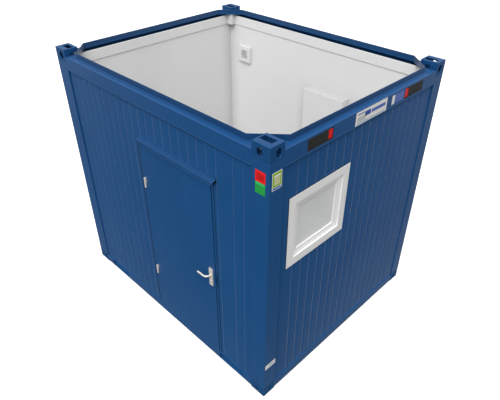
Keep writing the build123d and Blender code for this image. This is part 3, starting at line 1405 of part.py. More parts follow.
def water():
    """Water heater on its bracket, water pipes with the inlet, and the waste pipes."""
    boiler_top = BOILER_BOTTOM + BOILER_HEIGHT
    boiler = rod_z(BOILER_RADIUS, BOILER_BOTTOM, boiler_top, BOILER_X, BOILER_Y)
    boiler = fillet(boiler.edges(), BOILER_ROUND)
    sheet = BOILER_SHEET
    inside = rod_z(BOILER_RADIUS - sheet, BOILER_BOTTOM + sheet, boiler_top - sheet, BOILER_X, BOILER_Y)
    inside = fillet(inside.edges(), BOILER_ROUND - sheet)
    half = BRACKET_WIDTH / 2
    for level in (BOILER_BOTTOM + BOILER_HEIGHT / 4, BOILER_BOTTOM + BOILER_HEIGHT * 3 / 4):
        boiler += block(
            BOILER_X - half, BOILER_X + half, BOILER_Y, ROOM_Y,
            level - BRACKET_HEIGHT / 2, level + BRACKET_HEIGHT / 2,
        )
    NODES["water_heater"] = boiler - inside

    run_y = ROOM_Y - PIPE_FROM_WALL
    basin_foot = BASIN_RIM - BASIN_HEIGHT
    def run(radius, side, level):
        boiler_end = BOILER_X + side * PIPE_SPREAD
        basin_end = BASIN_X - side * TAP_PIPE_SPREAD
        start = level + PIPE_RADIUS
        return [
            rod_z(radius, start, BOILER_BOTTOM, boiler_end, run_y),
            rod_x(radius, basin_end + PIPE_RADIUS, boiler_end - PIPE_RADIUS, run_y, level),
            rod_z(radius, start, basin_foot, basin_end, run_y),
        ]

    inlet_x = BOILER_X - PIPE_SPREAD
    branch = (run_y + PIPE_RADIUS, ROOM_Y, inlet_x, COLD_LEVEL)
    bore = PIPE_RADIUS - PIPE_WALL
    pipes = []
    for side, level in ((-1, COLD_LEVEL), (1, HOT_LEVEL)):
        outsides = run(PIPE_RADIUS, side, level)
        bores = run(bore, side, level)
        if side < 0:
            outsides.append(rod_y(PIPE_RADIUS, *branch))
            bores.append(rod_y(bore, *branch))
        for x in (BOILER_X + side * PIPE_SPREAD, BASIN_X - side * TAP_PIPE_SPREAD):
            pipes.append(elbow(PIPE_RADIUS, (x, run_y, level), outsides))
        pipes += [outside - inside for outside, inside in zip(outsides, bores)]
    stub_end = WIDTH / 2 - STUB_DEPTH
    inlet = rod_y(INLET_RADIUS, ROOM_Y, stub_end, inlet_x, COLD_LEVEL)
    inlet -= rod_y(INLET_BORE_RADIUS, stub_end - INLET_BORE_LENGTH, stub_end, inlet_x, COLD_LEVEL)
    NODES["water_pipes"] = group(*pipes, inlet)

    soil = rod_x(SOIL_RADIUS, -LENGTH / 2 + STUB_DEPTH, -ROOM_X, TOILET_Y, SOIL_LEVEL)
    soil -= rod_x(SOIL_RADIUS - SOIL_WALL, -LENGTH / 2 + STUB_DEPTH, -ROOM_X, TOILET_Y, SOIL_LEVEL)
    bore = WASTE_RADIUS - WASTE_WALL
    fall = (WASTE_LEVEL + WASTE_RADIUS, basin_foot, BASIN_X, BOWL_Y)
    outlet = (BOWL_Y + WASTE_RADIUS, stub_end, BASIN_X, WASTE_LEVEL)
    ends = [rod_z(WASTE_RADIUS, *fall), rod_y(WASTE_RADIUS, *outlet)]
    bend = elbow(WASTE_RADIUS, (BASIN_X, BOWL_Y, WASTE_LEVEL), ends)
    ends[0] -= rod_z(bore, *fall)
    ends[1] -= rod_y(bore, stub_end - WASTE_BORE_LENGTH, stub_end, BASIN_X, WASTE_LEVEL)
    NODES["waste_pipes"] = group(soil, *ends, bend)


def heater():
    """Convector heater under the window, with its thermostat knob."""
    front = ROOM_X - HEATER_DEPTH
    left = -ROOM_Y + HEATER_INSET
    right = left + HEATER_WIDTH
    low = HEATER_BOTTOM
    high = low + HEATER_HEIGHT
    sheet = HEATER_SHEET
    body = block(front, ROOM_X, left, right, low, high)
    body -= block(front + sheet, ROOM_X - sheet, left + sheet, right - sheet, low, high - sheet)
    slot_pitch = (HEATER_DEPTH - 2 * sheet) / HEATER_SLOTS
    for k in range(HEATER_SLOTS):
        middle = front + sheet + slot_pitch * (k + 0.5)
        body -= block(
            middle - slot_pitch / 4, middle + slot_pitch / 4,
            left + HEATER_KNOB_MARGIN, right - HEATER_KNOB_MARGIN * 2, high - sheet, high,
        )
    knob_y = right - HEATER_KNOB_MARGIN
    knob_z = high - HEATER_KNOB_MARGIN
    pin = HEATER_KNOB_RADIUS / 3
    body -= rod_x(pin + PIN_CLEARANCE, front, front + sheet, knob_y, knob_z)
    NODES["heater_body"] = body
    knob_back = front - RUNNING_GAP
    knob_front = knob_back - HEATER_KNOB_DEPTH
    knob = rod_x(HEATER_KNOB_RADIUS, knob_front, knob_back, knob_y, knob_z)
    knob += block(
        knob_front - pin, knob_front, knob_y - pin / 2, knob_y + pin / 2,
        knob_z - HEATER_KNOB_RADIUS, knob_z + HEATER_KNOB_RADIUS,
    )
    knob += rod_x(pin, knob_back, front + HEATER_PIN_LENGTH, knob_y, knob_z)
    NODES["heater_knob"] = knob


def distribution_box():
    """Distribution box with breakers on the front wall, and its top-hinged cover."""
    right = ROOM_X - PANEL_END_GAP
    left = right - PANEL_WIDTH
    low = PANEL_BOTTOM
    high = low + PANEL_HEIGHT
    back = -ROOM_Y
    front = back + PANEL_DEPTH
    wall = PANEL_WALL
    cover_front = front + RUNNING_GAP + PANEL_COVER
    axis_y = front + RUNNING_GAP + PANEL_COVER / 2
    axis_z = high - PANEL_COVER
    box = block(left, right, back, front, low, high)
    box -= block(left + wall, right - wall, back + wall, front, low + wall, high - wall)
    middle = (low + high) / 2
    box += block(
        left + BREAKER_MARGIN, right - BREAKER_MARGIN, back, front - BREAKER_SETBACK,
        middle - BREAKER_HEIGHT / 2, middle + BREAKER_HEIGHT / 2,
    )
    for cheek in ((left, left + wall), (right - wall, right)):
        box += block(*cheek, front, cover_front, high - PANEL_COVER * 2, high)
    box -= rod_x(PANEL_PIN_RADIUS + PIN_CLEARANCE, left, right, axis_y, axis_z)
    NODES["distribution_box"] = box

    cover_left = left + wall + RUNNING_GAP
    cover_right = right - wall - RUNNING_GAP
    cover = block(cover_left, cover_right, axis_y - PANEL_COVER / 2, cover_front, low, axis_z)
    cover += rod_x(PANEL_COVER / 2, cover_left, cover_right, axis_y, axis_z)
    cover += rod_x(PANEL_PIN_RADIUS, left, right, axis_y, axis_z)
    NODES["distribution_box_cover"] = cover


corner_frame()
floor_insulation = base_frame()
walls(floor_insulation)
roof_frame()
interior_trims()
door_frame()
door_leaf()
window()
power_boxes()
fan()
cabinet()
basin_and_fittings()
toilet()
shower()
water()
heater()
distribution_box()

os.makedirs("parts", exist_ok=True)
for name, shape in NODES.items():
    export_step(shape, "parts/" + name + ".step")
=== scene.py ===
import json
import math

import bmesh
import bpy
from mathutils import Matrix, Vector


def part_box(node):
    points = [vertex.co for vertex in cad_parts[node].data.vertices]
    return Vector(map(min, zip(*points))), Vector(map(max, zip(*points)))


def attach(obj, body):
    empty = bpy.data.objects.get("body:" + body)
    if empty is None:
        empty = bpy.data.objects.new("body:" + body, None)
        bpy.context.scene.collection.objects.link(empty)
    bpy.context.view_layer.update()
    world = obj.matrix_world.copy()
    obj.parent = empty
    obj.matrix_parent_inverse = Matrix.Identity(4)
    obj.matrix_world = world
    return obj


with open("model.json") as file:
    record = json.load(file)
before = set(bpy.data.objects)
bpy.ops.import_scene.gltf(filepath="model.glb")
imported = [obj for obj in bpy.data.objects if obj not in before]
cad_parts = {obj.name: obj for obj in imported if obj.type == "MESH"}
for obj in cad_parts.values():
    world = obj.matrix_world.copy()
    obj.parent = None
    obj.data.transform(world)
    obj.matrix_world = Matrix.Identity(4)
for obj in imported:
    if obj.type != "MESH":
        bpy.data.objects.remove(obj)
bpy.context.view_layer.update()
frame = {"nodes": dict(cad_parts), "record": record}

# Sanitary container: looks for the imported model, in metres with +Z up.
# The door wall faces -Y and the window wall faces +X.

# Directions
FRONT = Vector((0, -1, 0))
RIGHT = Vector((1, 0, 0))
UP = Vector((0, 0, 1))

# Camera, fitted to the photograph's 500 by 400 frame
CAMERA_PLACE = Vector((3.4407, -3.3515, 4.4169))
CAMERA_AIM = Vector((-0.57847, 0.57735, -0.57622))
CAMERA_LENS = 35.669
CAMERA_SENSOR = 36.0

# Light
# Brightness of the sky from straight down (0) over the horizon (0.5) to straight up (1)
SKY = ((0.25, 0.03), (0.40, 0.42), (0.54, 0.45), (0.62, 0.78), (0.76, 0.65), (0.90, 1.0), (1.0, 1.0))
SUN_FROM = Vector((0.295, -0.565, 0.77))
SUN_STRENGTH = 2.67
SUN_WIDTH = math.radians(40)
FLOOR_SIZE = 60.0
FLOOR_COLOUR = (0.92, 0.92, 0.92, 1)
FLOOR_GLOW = 0.2

# Faces of the frame that pieces sit on
FRONT_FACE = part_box("corner_posts")[0].y
RIGHT_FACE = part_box("corner_posts")[1].x

# The gutter's upstands begin this far above the lower face of the corner plates
UPSTAND_FOOT = 0.006
UPSTAND_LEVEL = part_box("gutter_corner_plates")[0].z + UPSTAND_FOOT

# Colours of the blue coating: its dust, painted shade, painted light on top faces, worn edges with painted
# highlights, and the beads on it
BLUE_DEEP = (0.0056, 0.067, 0.208, 1)
BLUE_LIGHT = (0.0074, 0.075, 0.226, 1)
BLUE_CHALK = (0.040, 0.115, 0.260, 1)
BLUE_WORN_EDGE_HIGHLIGHT = (0.018, 0.095, 0.265, 1)
BLUE_PAINTED_SHADE = (0.0045, 0.030, 0.090, 1)
BLUE_PAINTED_TOP_LIGHT = (0.060, 0.220, 0.560, 1)
BLUE_HEM_HIGHLIGHT = (0.012, 0.068, 0.180, 1)
BLUE_SEALANT_AND_SHADE = (0.006, 0.020, 0.052, 1)

# Colours of the other materials
WHITE_BOARD = (0.735, 0.735, 0.730, 1)
GREY_PAINTED_TOP_SHADE = (0.360, 0.360, 0.355, 1)
ZINC_DARK = (0.42, 0.44, 0.45, 1)
ZINC_LIGHT = (0.66, 0.68, 0.69, 1)
ZINC_DULL = (0.50, 0.50, 0.48, 1)
GLASS_DEEP = (0.76, 0.77, 0.775, 1)
GLASS_LIGHT = (0.82, 0.83, 0.835, 1)
VINYL_DEEP = (0.30, 0.32, 0.33, 1)
VINYL_LIGHT = (0.36, 0.38, 0.39, 1)
CHIP_PALE = (0.60, 0.61, 0.60, 1)
CHIP_DARK = (0.10, 0.11, 0.12, 1)
WOOL_DARK = (0.30, 0.24, 0.10, 1)
WOOL_LIGHT = (0.62, 0.54, 0.30, 1)
CEMENT_DARK = (0.30, 0.29, 0.27, 1)
CEMENT_LIGHT = (0.50, 0.48, 0.44, 1)
COPPER_BRIGHT = (0.85, 0.43, 0.26, 1)
COPPER_BROWN = (0.30, 0.13, 0.07, 1)
STAINLESS = (0.60, 0.60, 0.59, 1)
BRIGHT_STEEL = (0.76, 0.72, 0.66, 1)

# Dust and rain streaks, painted shade in corners, painted light and shade on top faces, and wear with
# painted highlights on edges
STREAK_STRENGTH = 0.06
STREAK_STRETCH = (1, 1, 0.05)
GROUND_DUST = 0.22
GROUND_DUST_FOOT = 0.05
GROUND_DUST_TOP = 1.1
CORNER_REACH = 0.05
CORNER_PAINTED_SHADE = 0.45
ROOM_CORNER_REACH = 0.20
ROOM_CORNER_PAINTED_SHADE = 0.45
TOP_SHADING_LEAST = 0.85
EDGE_WEAR_AND_HIGHLIGHT = 0.003

# The blue coating, matt and glossy: least roughness, most roughness, specular level and sheen
MATT = (0.44, 0.60, 0.20, 0.0)
GLOSSY = (0.30, 0.42, 0.38, 0.70)
COATING_SHEEN_ROUGHNESS = 0.24

# Uneven gloss of plain materials: its spread, and its patches to each patch of tone
GLOSS_SPREAD = 0.18
GLOSS_PATCHES = 6

# Stretch of brushed lines
ALONG_X = (0.04, 1, 1)
ALONG_Z = (1, 1, 0.05)

# Depth of the relief
FINE_RELIEF = 0.001
WOOL_RELIEF = 0.004

# Sockets of the mix node that take and give colours
MIX_FACTOR = 0
MIX_FIRST = 6
MIX_SECOND = 7
MIX_RESULT = 2

# Plain materials: colour, roughness, drift of tone, patches and grains to a metre, and relief
BOARD_LOOK = (WHITE_BOARD, 0.46, 0.012, 2.0, 500.0, 0.02)
LOOKS = {
    "white_board": BOARD_LOOK,
    "white_pvc": ((0.83, 0.83, 0.825, 1), 0.34, 0.02, 4.0, 400.0, 0.03),
    "black_plastic": ((0.018, 0.018, 0.019, 1), 0.48, 0.15, 20.0, 700.0, 0.10),
    "red_plastic": ((0.72, 0.012, 0.012, 1), 0.36, 0.08, 20.0, 700.0, 0.06),
    "black_rubber": ((0.022, 0.022, 0.022, 1), 0.78, 0.15, 30.0, 900.0, 0.15),
    "chrome": ((0.86, 0.86, 0.87, 1), 0.10, 0.02, 12.0, 200.0, 0.01),
    "white_ceramic": ((0.86, 0.86, 0.84, 1), 0.12, 0.015, 6.0, 120.0, 0.01),
    "white_acrylic": ((0.83, 0.83, 0.82, 1), 0.22, 0.015, 5.0, 350.0, 0.02),
    "white_enamel": ((0.84, 0.84, 0.83, 1), 0.26, 0.015, 5.0, 260.0, 0.04),
    "white_plastic": ((0.70, 0.70, 0.69, 1), 0.38, 0.02, 9.0, 600.0, 0.05),
    "grey_plastic": ((0.30, 0.31, 0.32, 1), 0.50, 0.08, 9.0, 500.0, 0.06),
    # The hem's greyer blue is a painted highlight.
    "hem_highlight_paint": (BLUE_HEM_HIGHLIGHT, 0.50, 0.06, 9.0, 300.0, 0.05),
    # The sealant's dark blue is partly painted shade along the frames.
    "sealant": (BLUE_SEALANT_AND_SHADE, 0.60, 0.12, 25.0, 600.0, 0.12),
}
# What some plain materials have besides
EXTRAS = {
    # The white board has painted shade in the room's corners.
    "white_board": {"corner_grime": 0.48},
    "chrome": {"Metallic": 1.0},
    "white_ceramic": {"Coat_Weight": 0.6},
    "hem_highlight_paint": {"Specular_IOR_Level": 0.3},
}

# Stickers: plain colour fields with no words
STICKER_THICKNESS = 0.0006
STICKER_ROUND = 0.002
STICKER_STEPS = 4
# Roughness, drift of tone, patches and grains to a metre, and relief of every ink
INK_SURFACE = (0.34, 0.03, 12.0, 500.0, 0.02)
INK_COLOURS = {
    "white": (0.80, 0.79, 0.76, 1), "red": (0.84, 0.014, 0.016, 1), "dark_red": (0.52, 0.010, 0.012, 1),
    "green": (0.020, 0.34, 0.060, 1), "light_green": (0.040, 0.50, 0.17, 1), "lime": (0.24, 0.46, 0.014, 1),
    "pale": (0.56, 0.58, 0.33, 1), "blue": (0.030, 0.075, 0.36, 1), "mid_blue": (0.10, 0.16, 0.46, 1),
    "grey": (0.52, 0.54, 0.54, 1), "sky_blue": (0.32, 0.45, 0.55, 1),
}
# Name, face, left, right, bottom, top, ink and layer
STICKERS = (
    ("label_red", "front", 1.354, 1.456, 2.489, 2.584, "red", 0),
    ("label_red_field", "front", 1.371, 1.440, 2.509, 2.562, "dark_red", 1),
    ("label_green", "front", 1.354, 1.455, 2.389, 2.488, "green", 0),
    ("label_green_band", "front", 1.358, 1.451, 2.466, 2.484, "light_green", 1),
    ("label_post", "right", -1.190, -1.087, 2.437, 2.587, "white", 0),
    ("label_post_lime", "right", -1.185, -1.092, 2.464, 2.582, "lime", 1),
    ("label_post_band", "right", -1.172, -1.102, 2.549, 2.562, "white", 2),
    ("label_post_pale", "right", -1.171, -1.106, 2.479, 2.545, "pale", 2),
    ("label_post_strip", "right", -1.185, -1.092, 2.442, 2.459, "mid_blue", 1),
    ("label_foot", "right", -1.206, -1.069, 0.404, 0.463, "white", 0),
    ("label_foot_strip", "right", -1.157, -1.088, 0.431, 0.450, "sky_blue", 1),
    ("sign_white", "right", -0.217, 0.232, 2.602, 2.721, "white", 0),
    ("sign_line", "right", -0.193, -0.098, 2.693, 2.702, "blue", 1),
    ("sign_field", "right", -0.092, -0.010, 2.656, 2.698, "blue", 1),
    ("sign_band", "right", 0.002, 0.208, 2.658, 2.690, "mid_blue", 1),
    ("sign_grey", "right", -0.195, -0.082, 2.626, 2.675, "grey", 1),
    ("sign_foot_line", "right", -0.195, 0.210, 2.611, 2.621, "sky_blue", 1),
    ("label_beam_white", "right", 0.314, 0.356, 2.622, 2.706, "white", 0),
    ("label_beam_blue", "right", 0.360, 0.505, 2.622, 2.706, "mid_blue", 0),
)

# Sealant beads, partly painted shade, folded hems with a painted highlight, and screw heads
HINGE_BEAD_WIDTH = 0.018
LOCK_BEAD_WIDTH = 0.008
WINDOW_BEAD_WIDTH = 0.008
HEM_WIDTH = 0.006
BEAD_HEIGHT = 0.003
BEAD_STEPS = 6
# Top corner castings, along X and along Y
CASTING_LENGTH = 0.178
CASTING_WIDTH = 0.150
SCREW_RADIUS = 0.004
SCREW_HEIGHT = 0.0016
SCREW_SIDES = 16
# Rings of a screw head, as shares of its radius and height, and its cross recess in the same shares
SCREW_PROFILE = ((1.0, 0.0), (1.0, 0.3), (0.86, 0.72), (0.55, 1.0))
CROSS_ARM = 0.42
CROSS_WAIST = 0.16
CROSS_FLOOR = 0.35
PLATE_SCREW_INSET = 0.012
# The keyway stands this far out of the outer handle plate
KEYWAY_PROUD = 0.0032


class Nodes:
    """A material's node tree, with short ways to add nodes to it."""

    def __init__(self, name):
        self.material = bpy.data.materials.new(name)
        self.material.use_nodes = True
        self.tree = self.material.node_tree
        self.shader = self.tree.nodes["Principled BSDF"]
        self.place = self.add("ShaderNodeTexCoord").outputs["Object"]

    def add(self, kind, **settings):
        """A new node with its settings."""
        node = self.tree.nodes.new(kind)
        for key, value in settings.items():
            setattr(node, key, value)
        return node

    def link(self, source, target):
        """A link from an output to an input."""
        self.tree.links.new(source, target)

    def set(self, **values):
        """Constant values on the shader's own sockets."""
        for key, value in values.items():
            self.shader.inputs[key.replace("_", " ")].default_value = value

    def feed(self, **sources):
        """Node outputs into the shader's sockets."""
        for key, source in sources.items():
            self.link(source, self.shader.inputs[key.replace("_", " ")])

    def stretched(self, stretch):
        """The place on the piece, scaled along each axis."""
        node = self.add("ShaderNodeVectorMath", operation="MULTIPLY")
        self.link(self.place, node.inputs[0])
        node.inputs[1].default_value = stretch
        return node.outputs[0]

    def noise(self, scale, detail=4.0, stretch=(1, 1, 1)):
        """Soft patches, about as many to a metre as the scale says."""
        node = self.add("ShaderNodeTexNoise")
        self.link(self.stretched(stretch), node.inputs["Vector"])
        node.inputs["Scale"].default_value = scale
        node.inputs["Detail"].default_value = detail
        return node.outputs["Fac"]

    def cells(self, scale, output):
        """Crystal cells, about as many to a metre as the scale says."""
        node = self.add("ShaderNodeTexVoronoi")
        self.link(self.place, node.inputs["Vector"])
        node.inputs["Scale"].default_value = scale
        return node.outputs[output]

    def grey_cells(self, scale):
        """Crystal cells, each in a grey of its own."""
        node = self.add("ShaderNodeRGBToBW")
        self.link(self.cells(scale, "Color"), node.inputs[0])
        return node.outputs[0]

    def level(self):
        """Height above the ground."""
        node = self.add("ShaderNodeSeparateXYZ")
        self.link(self.place, node.inputs[0])
        return node.outputs["Z"]

    def between(self, value, low, high, start=0.3, end=0.7):
        """A value from start to end, turned into low to high."""
        node = self.add("ShaderNodeMapRange")
        self.link(value, node.inputs["Value"])
        node.inputs["From Min"].default_value = start
        node.inputs["From Max"].default_value = end
        node.inputs["To Min"].default_value = low
        node.inputs["To Max"].default_value = high
        return node.outputs["Result"]

    def times(self, first, second):
        """The product of two outputs."""
        node = self.add("ShaderNodeMath", operation="MULTIPLY")
        self.link(first, node.inputs[0])
        self.link(second, node.inputs[1])
        return node.outputs[0]

    def blend(self, factor, first, second):
        """From the first colour to the second; each is a colour or a node's output."""
        node = self.add("ShaderNodeMix", data_type="RGBA")
        self.link(factor, node.inputs[MIX_FACTOR])
        for socket, value in ((node.inputs[MIX_FIRST], first), (node.inputs[MIX_SECOND], second)):
            if isinstance(value, tuple):
                socket.default_value = value
            else:
                self.link(value, socket)
        return node.outputs[MIX_RESULT]

    def edges(self, radius):
        """1 on sharp edges and 0 on flat faces."""
        bevel = self.add("ShaderNodeBevel", samples=4)
        bevel.inputs["Radius"].default_value = radius
        flat = self.add("ShaderNodeNewGeometry")
        dot = self.add("ShaderNodeVectorMath", operation="DOT_PRODUCT")
        self.link(bevel.outputs[0], dot.inputs[0])
        self.link(flat.outputs["Normal"], dot.inputs[1])
        return self.between(dot.outputs["Value"], 1.0, 0.0, start=0.80, end=0.98)

    def hollows(self, reach):
        """1 on open faces, less in corners and narrow gaps."""
        node = self.add("ShaderNodeAmbientOcclusion", samples=6)
        node.inputs["Distance"].default_value = reach
        return node.outputs["AO"]

    def facing_up(self):
        """1 on faces that look up and 0 on upright faces."""
        flat = self.add("ShaderNodeNewGeometry")
        split = self.add("ShaderNodeSeparateXYZ")
        self.link(flat.outputs["Normal"], split.inputs[0])
        return self.between(split.outputs["Z"], 0.0, 1.0, start=0.6, end=0.9)

    def top_face_shading(self, strength):
        """Slightly uneven mask on faces that look up, for painted light and painted shade on top faces."""
        uneven = self.between(self.noise(scale=30.0), TOP_SHADING_LEAST * strength, strength)
        return self.times(self.facing_up(), uneven)

    def bump(self, height, strength, distance=FINE_RELIEF):
        """Relief from an output."""
        node = self.add("ShaderNodeBump")
        node.inputs["Strength"].default_value = strength
        node.inputs["Distance"].default_value = distance
        self.link(height, node.inputs["Height"])
        self.feed(Normal=node.outputs[0])


def shade(colour, factor):
    """A colour made lighter or darker."""
    return tuple(min(1.0, channel * factor) for channel in colour[:3]) + (1,)


def blue_paint(name, gloss=1.0, tint=1.0, grain=260.0, relief=0.05, gutter_painted_shade=0.0, top_painted_shading=0.0):
    """Blue coating with drifts of tone, rain streaks and dust, painted shade in corners and on the gutter
    upstands, painted light on top faces, and worn edges with painted highlights.
    """
    n = Nodes(name)
    drift = n.between(n.noise(scale=1.4), 0, 1)
    tone = n.blend(drift, shade(BLUE_DEEP, tint), shade(BLUE_LIGHT, tint))
    rain = n.noise(scale=9.0, stretch=STREAK_STRETCH)
    tone = n.blend(n.between(rain, 0.0, STREAK_STRENGTH, start=0.45, end=0.75), tone, BLUE_CHALK)
    near_ground = n.between(n.level(), GROUND_DUST, 0.0, GROUND_DUST_FOOT, GROUND_DUST_TOP)
    tone = n.blend(n.times(near_ground, n.between(n.noise(scale=14.0), 0.4, 1)), tone, BLUE_CHALK)
    # Painted shade: the coating is darkened in corners and narrow gaps, where shade falls.
    corners = n.between(n.hollows(CORNER_REACH), CORNER_PAINTED_SHADE, 0.0, start=0.35, end=0.92)
    tone = n.blend(corners, tone, BLUE_PAINTED_SHADE)
    # Painted shade: the gutter upstands are darkened above the ledge.
    upstands = n.between(n.level(), 0.0, gutter_painted_shade, UPSTAND_LEVEL, UPSTAND_LEVEL + UPSTAND_FOOT)
    tone = n.blend(n.times(upstands, n.between(n.noise(scale=11.0), 0.8, 1)), tone, BLUE_PAINTED_SHADE)
    # Painted light: faces that look up are lightened.
    tone = n.blend(n.top_face_shading(top_painted_shading), tone, BLUE_PAINTED_TOP_LIGHT)
    # Worn edges, also a painted highlight: sharp edges are lightened in patches.
    wear_and_highlight = n.times(n.edges(EDGE_WEAR_AND_HIGHLIGHT), n.between(n.noise(scale=35.0), 0.10, 0.55))
    n.feed(Base_Color=n.blend(wear_and_highlight, tone, BLUE_WORN_EDGE_HIGHLIGHT))
    least, most, specular, sheen = (low + (high - low) * gloss for low, high in zip(MATT, GLOSSY))
    n.feed(Roughness=n.between(n.noise(scale=22.0), least, most))
    n.set(Specular_IOR_Level=specular, Sheen_Weight=sheen, Sheen_Roughness=COATING_SHEEN_ROUGHNESS)
    n.bump(n.noise(grain, detail=2.0), relief)
    return n.material


def galvanised_steel():
    """Zinc spangle: crystal cells in several greys."""
    n = Nodes("galvanised_steel")
    cell = n.grey_cells(scale=70.0)
    tone = n.blend(n.between(cell, 0, 1, start=0.2, end=0.8), ZINC_DARK, ZINC_LIGHT)
    n.feed(Base_Color=n.blend(n.between(n.noise(scale=4.0), 0, 0.3), tone, ZINC_DULL))
    n.feed(Roughness=n.between(cell, 0.34, 0.56, start=0.2, end=0.8))
    n.set(Metallic=0.85)
    n.bump(n.noise(scale=180.0), 0.06)
    return n.material


def plain(name, look, top_painted_shading=0.0, corner_grime=0.0, **constants):
    """One colour with slow drifts of tone, fine grain and uneven gloss, and painted shade on top faces and
    in corners.
    """
    colour, rough, drift, patches, grains, relief = look
    n = Nodes(name)
    tone = n.blend(n.between(n.noise(patches), 0, 1), shade(colour, 1 - drift), shade(colour, 1 + drift))
    # Painted shade: faces that look up are darkened.
    if top_painted_shading:
        tone = n.blend(n.top_face_shading(top_painted_shading), tone, GREY_PAINTED_TOP_SHADE)
    # Painted shade: the board is darkened in the room's corners, where shade falls.
    if corner_grime:
        corners = n.between(n.hollows(ROOM_CORNER_REACH), corner_grime, 0.0, start=0.5, end=0.97)
        tone = n.blend(corners, tone, shade(colour, ROOM_CORNER_PAINTED_SHADE))
    fine = n.noise(grains, detail=3.0)
    n.feed(Base_Color=n.blend(n.between(fine, 0, 0.25), tone, shade(colour, 1 - 2 * drift)))
    uneven = n.noise(patches * GLOSS_PATCHES)
    n.feed(Roughness=n.between(uneven, rough * (1 - GLOSS_SPREAD), rough * (1 + GLOSS_SPREAD)))
    n.set(**constants)
    n.bump(fine, relief)
    return n.material


def frosted_glass():
    """Etched glass: pale, rough and only partly clear."""
    n = Nodes("frosted_glass")
    grain = n.noise(scale=420.0, detail=3.0)
    n.feed(Base_Color=n.blend(n.between(n.noise(scale=3.0), 0, 1), GLASS_DEEP, GLASS_LIGHT))
    n.feed(Roughness=n.between(grain, 0.34, 0.5))
    n.set(Transmission_Weight=0.15, IOR=1.5, Specular_IOR_Level=0.4)
    n.bump(grain, 0.08)
    return n.material


def grey_vinyl():
    """Safety vinyl: grey ground with dark and light chips."""
    n = Nodes("grey_vinyl")
    chip_scale = 260.0
    chip = n.grey_cells(chip_scale)
    ground = n.blend(n.between(n.noise(scale=3.0), 0, 1), VINYL_DEEP, VINYL_LIGHT)
    light = n.blend(n.between(chip, 0, 0.8, start=0.66, end=0.70), ground, CHIP_PALE)
    n.feed(Base_Color=n.blend(n.between(chip, 0.8, 0, start=0.26, end=0.30), light, CHIP_DARK))
    n.feed(Roughness=n.between(n.noise(scale=60.0), 0.42, 0.62))
    n.bump(n.cells(chip_scale, "Distance"), 0.08)
    return n.material


def mineral_wool():
    """Pressed fibres, yellow-brown and rough."""
    n = Nodes("mineral_wool")
    fibre = n.noise(scale=140.0, detail=8.0, stretch=(1, 1, 0.25))
    n.feed(Base_Color=n.blend(n.between(fibre, 0, 1), WOOL_DARK, WOOL_LIGHT))
    n.set(Roughness=0.95)
    n.bump(fibre, 0.6, WOOL_RELIEF)
    return n.material


def floor_panel():
    """Cement bonded board with wood chips in it."""
    n = Nodes("floor_panel")
    chip = n.noise(scale=60.0, detail=6.0, stretch=(1, 0.3, 1))
    n.feed(Base_Color=n.blend(n.between(chip, 0, 1), CEMENT_DARK, CEMENT_LIGHT))
    n.feed(Roughness=n.between(chip, 0.7, 0.9))
    n.bump(chip, 0.2)
    return n.material


def copper():
    """Drawn copper tube with brown patches."""
    n = Nodes("copper")
    patch = n.between(n.noise(scale=18.0), 0, 0.8, start=0.5, end=0.75)
    n.feed(Base_Color=n.blend(patch, COPPER_BRIGHT, COPPER_BROWN))
    n.feed(Roughness=n.between(n.noise(scale=40.0), 0.22, 0.42))
    n.set(Metallic=1.0)
    n.bump(n.noise(scale=300.0), 0.04)
    return n.material


def brushed(name, colour, rough, stretch, metallic):
    """Metal with fine lines along one direction."""
    n = Nodes(name)
    lines = n.noise(scale=900.0, detail=2.0, stretch=stretch)
    n.feed(Base_Color=n.blend(n.between(lines, 0, 1), shade(colour, 0.88), shade(colour, 1.08)))
    n.feed(Roughness=n.between(lines, rough * 0.8, rough * 1.25))
    n.set(Metallic=metallic)
    n.bump(lines, 0.05)
    return n.material


MATERIALS = {name: plain(name, look, **EXTRAS.get(name, {})) for name, look in LOOKS.items()}
# The slot's blue coating has painted shade on the gutter upstands.
MATERIALS["blue_paint"] = blue_paint("blue_paint", gutter_painted_shade=0.6)
MATERIALS["galvanised_steel"] = galvanised_steel()
MATERIALS["frosted_glass"] = frosted_glass()
MATERIALS["mineral_wool"] = mineral_wool()
MATERIALS["floor_panel"] = floor_panel()
MATERIALS["grey_vinyl"] = grey_vinyl()
MATERIALS["stainless_steel"] = brushed("stainless_steel", STAINLESS, 0.32, ALONG_X, metallic=1.0)
MATERIALS["bright_steel"] = brushed("bright_steel", BRIGHT_STEEL, 0.36, ALONG_Z, metallic=0.25)
MATERIALS["copper"] = copper()
INKS = {ink: plain("ink_" + ink, (colour, *INK_SURFACE)) for ink, colour in INK_COLOURS.items()}

# Nodes whose surface differs from the rest of their slot
CAST_PAINT = blue_paint("cast_steel_paint", gloss=0.35, tint=0.84, grain=190.0, relief=0.14)
# The cabinet's board has painted shade on its top faces and in its corners.
CABINET_BOARD_SHADED = plain("cabinet_board_shaded", BOARD_LOOK, top_painted_shading=0.75, corner_grime=0.3)
OWN_MATERIALS = {
    "base_corner_castings": CAST_PAINT,
    "top_corner_castings": CAST_PAINT,
    # Painted shade: the canopy's coating is a darker copy of the blue coating.
    "door_canopy": blue_paint("canopy_paint_shaded", tint=0.76),
    # Painted light: the leaf's coating is lighter on its top faces.
    "door_leaf": blue_paint("leaf_paint_lit_top", top_painted_shading=0.9),
    "wall_cabinet": CABINET_BOARD_SHADED,
    "cabinet_door": CABINET_BOARD_SHADED,
}

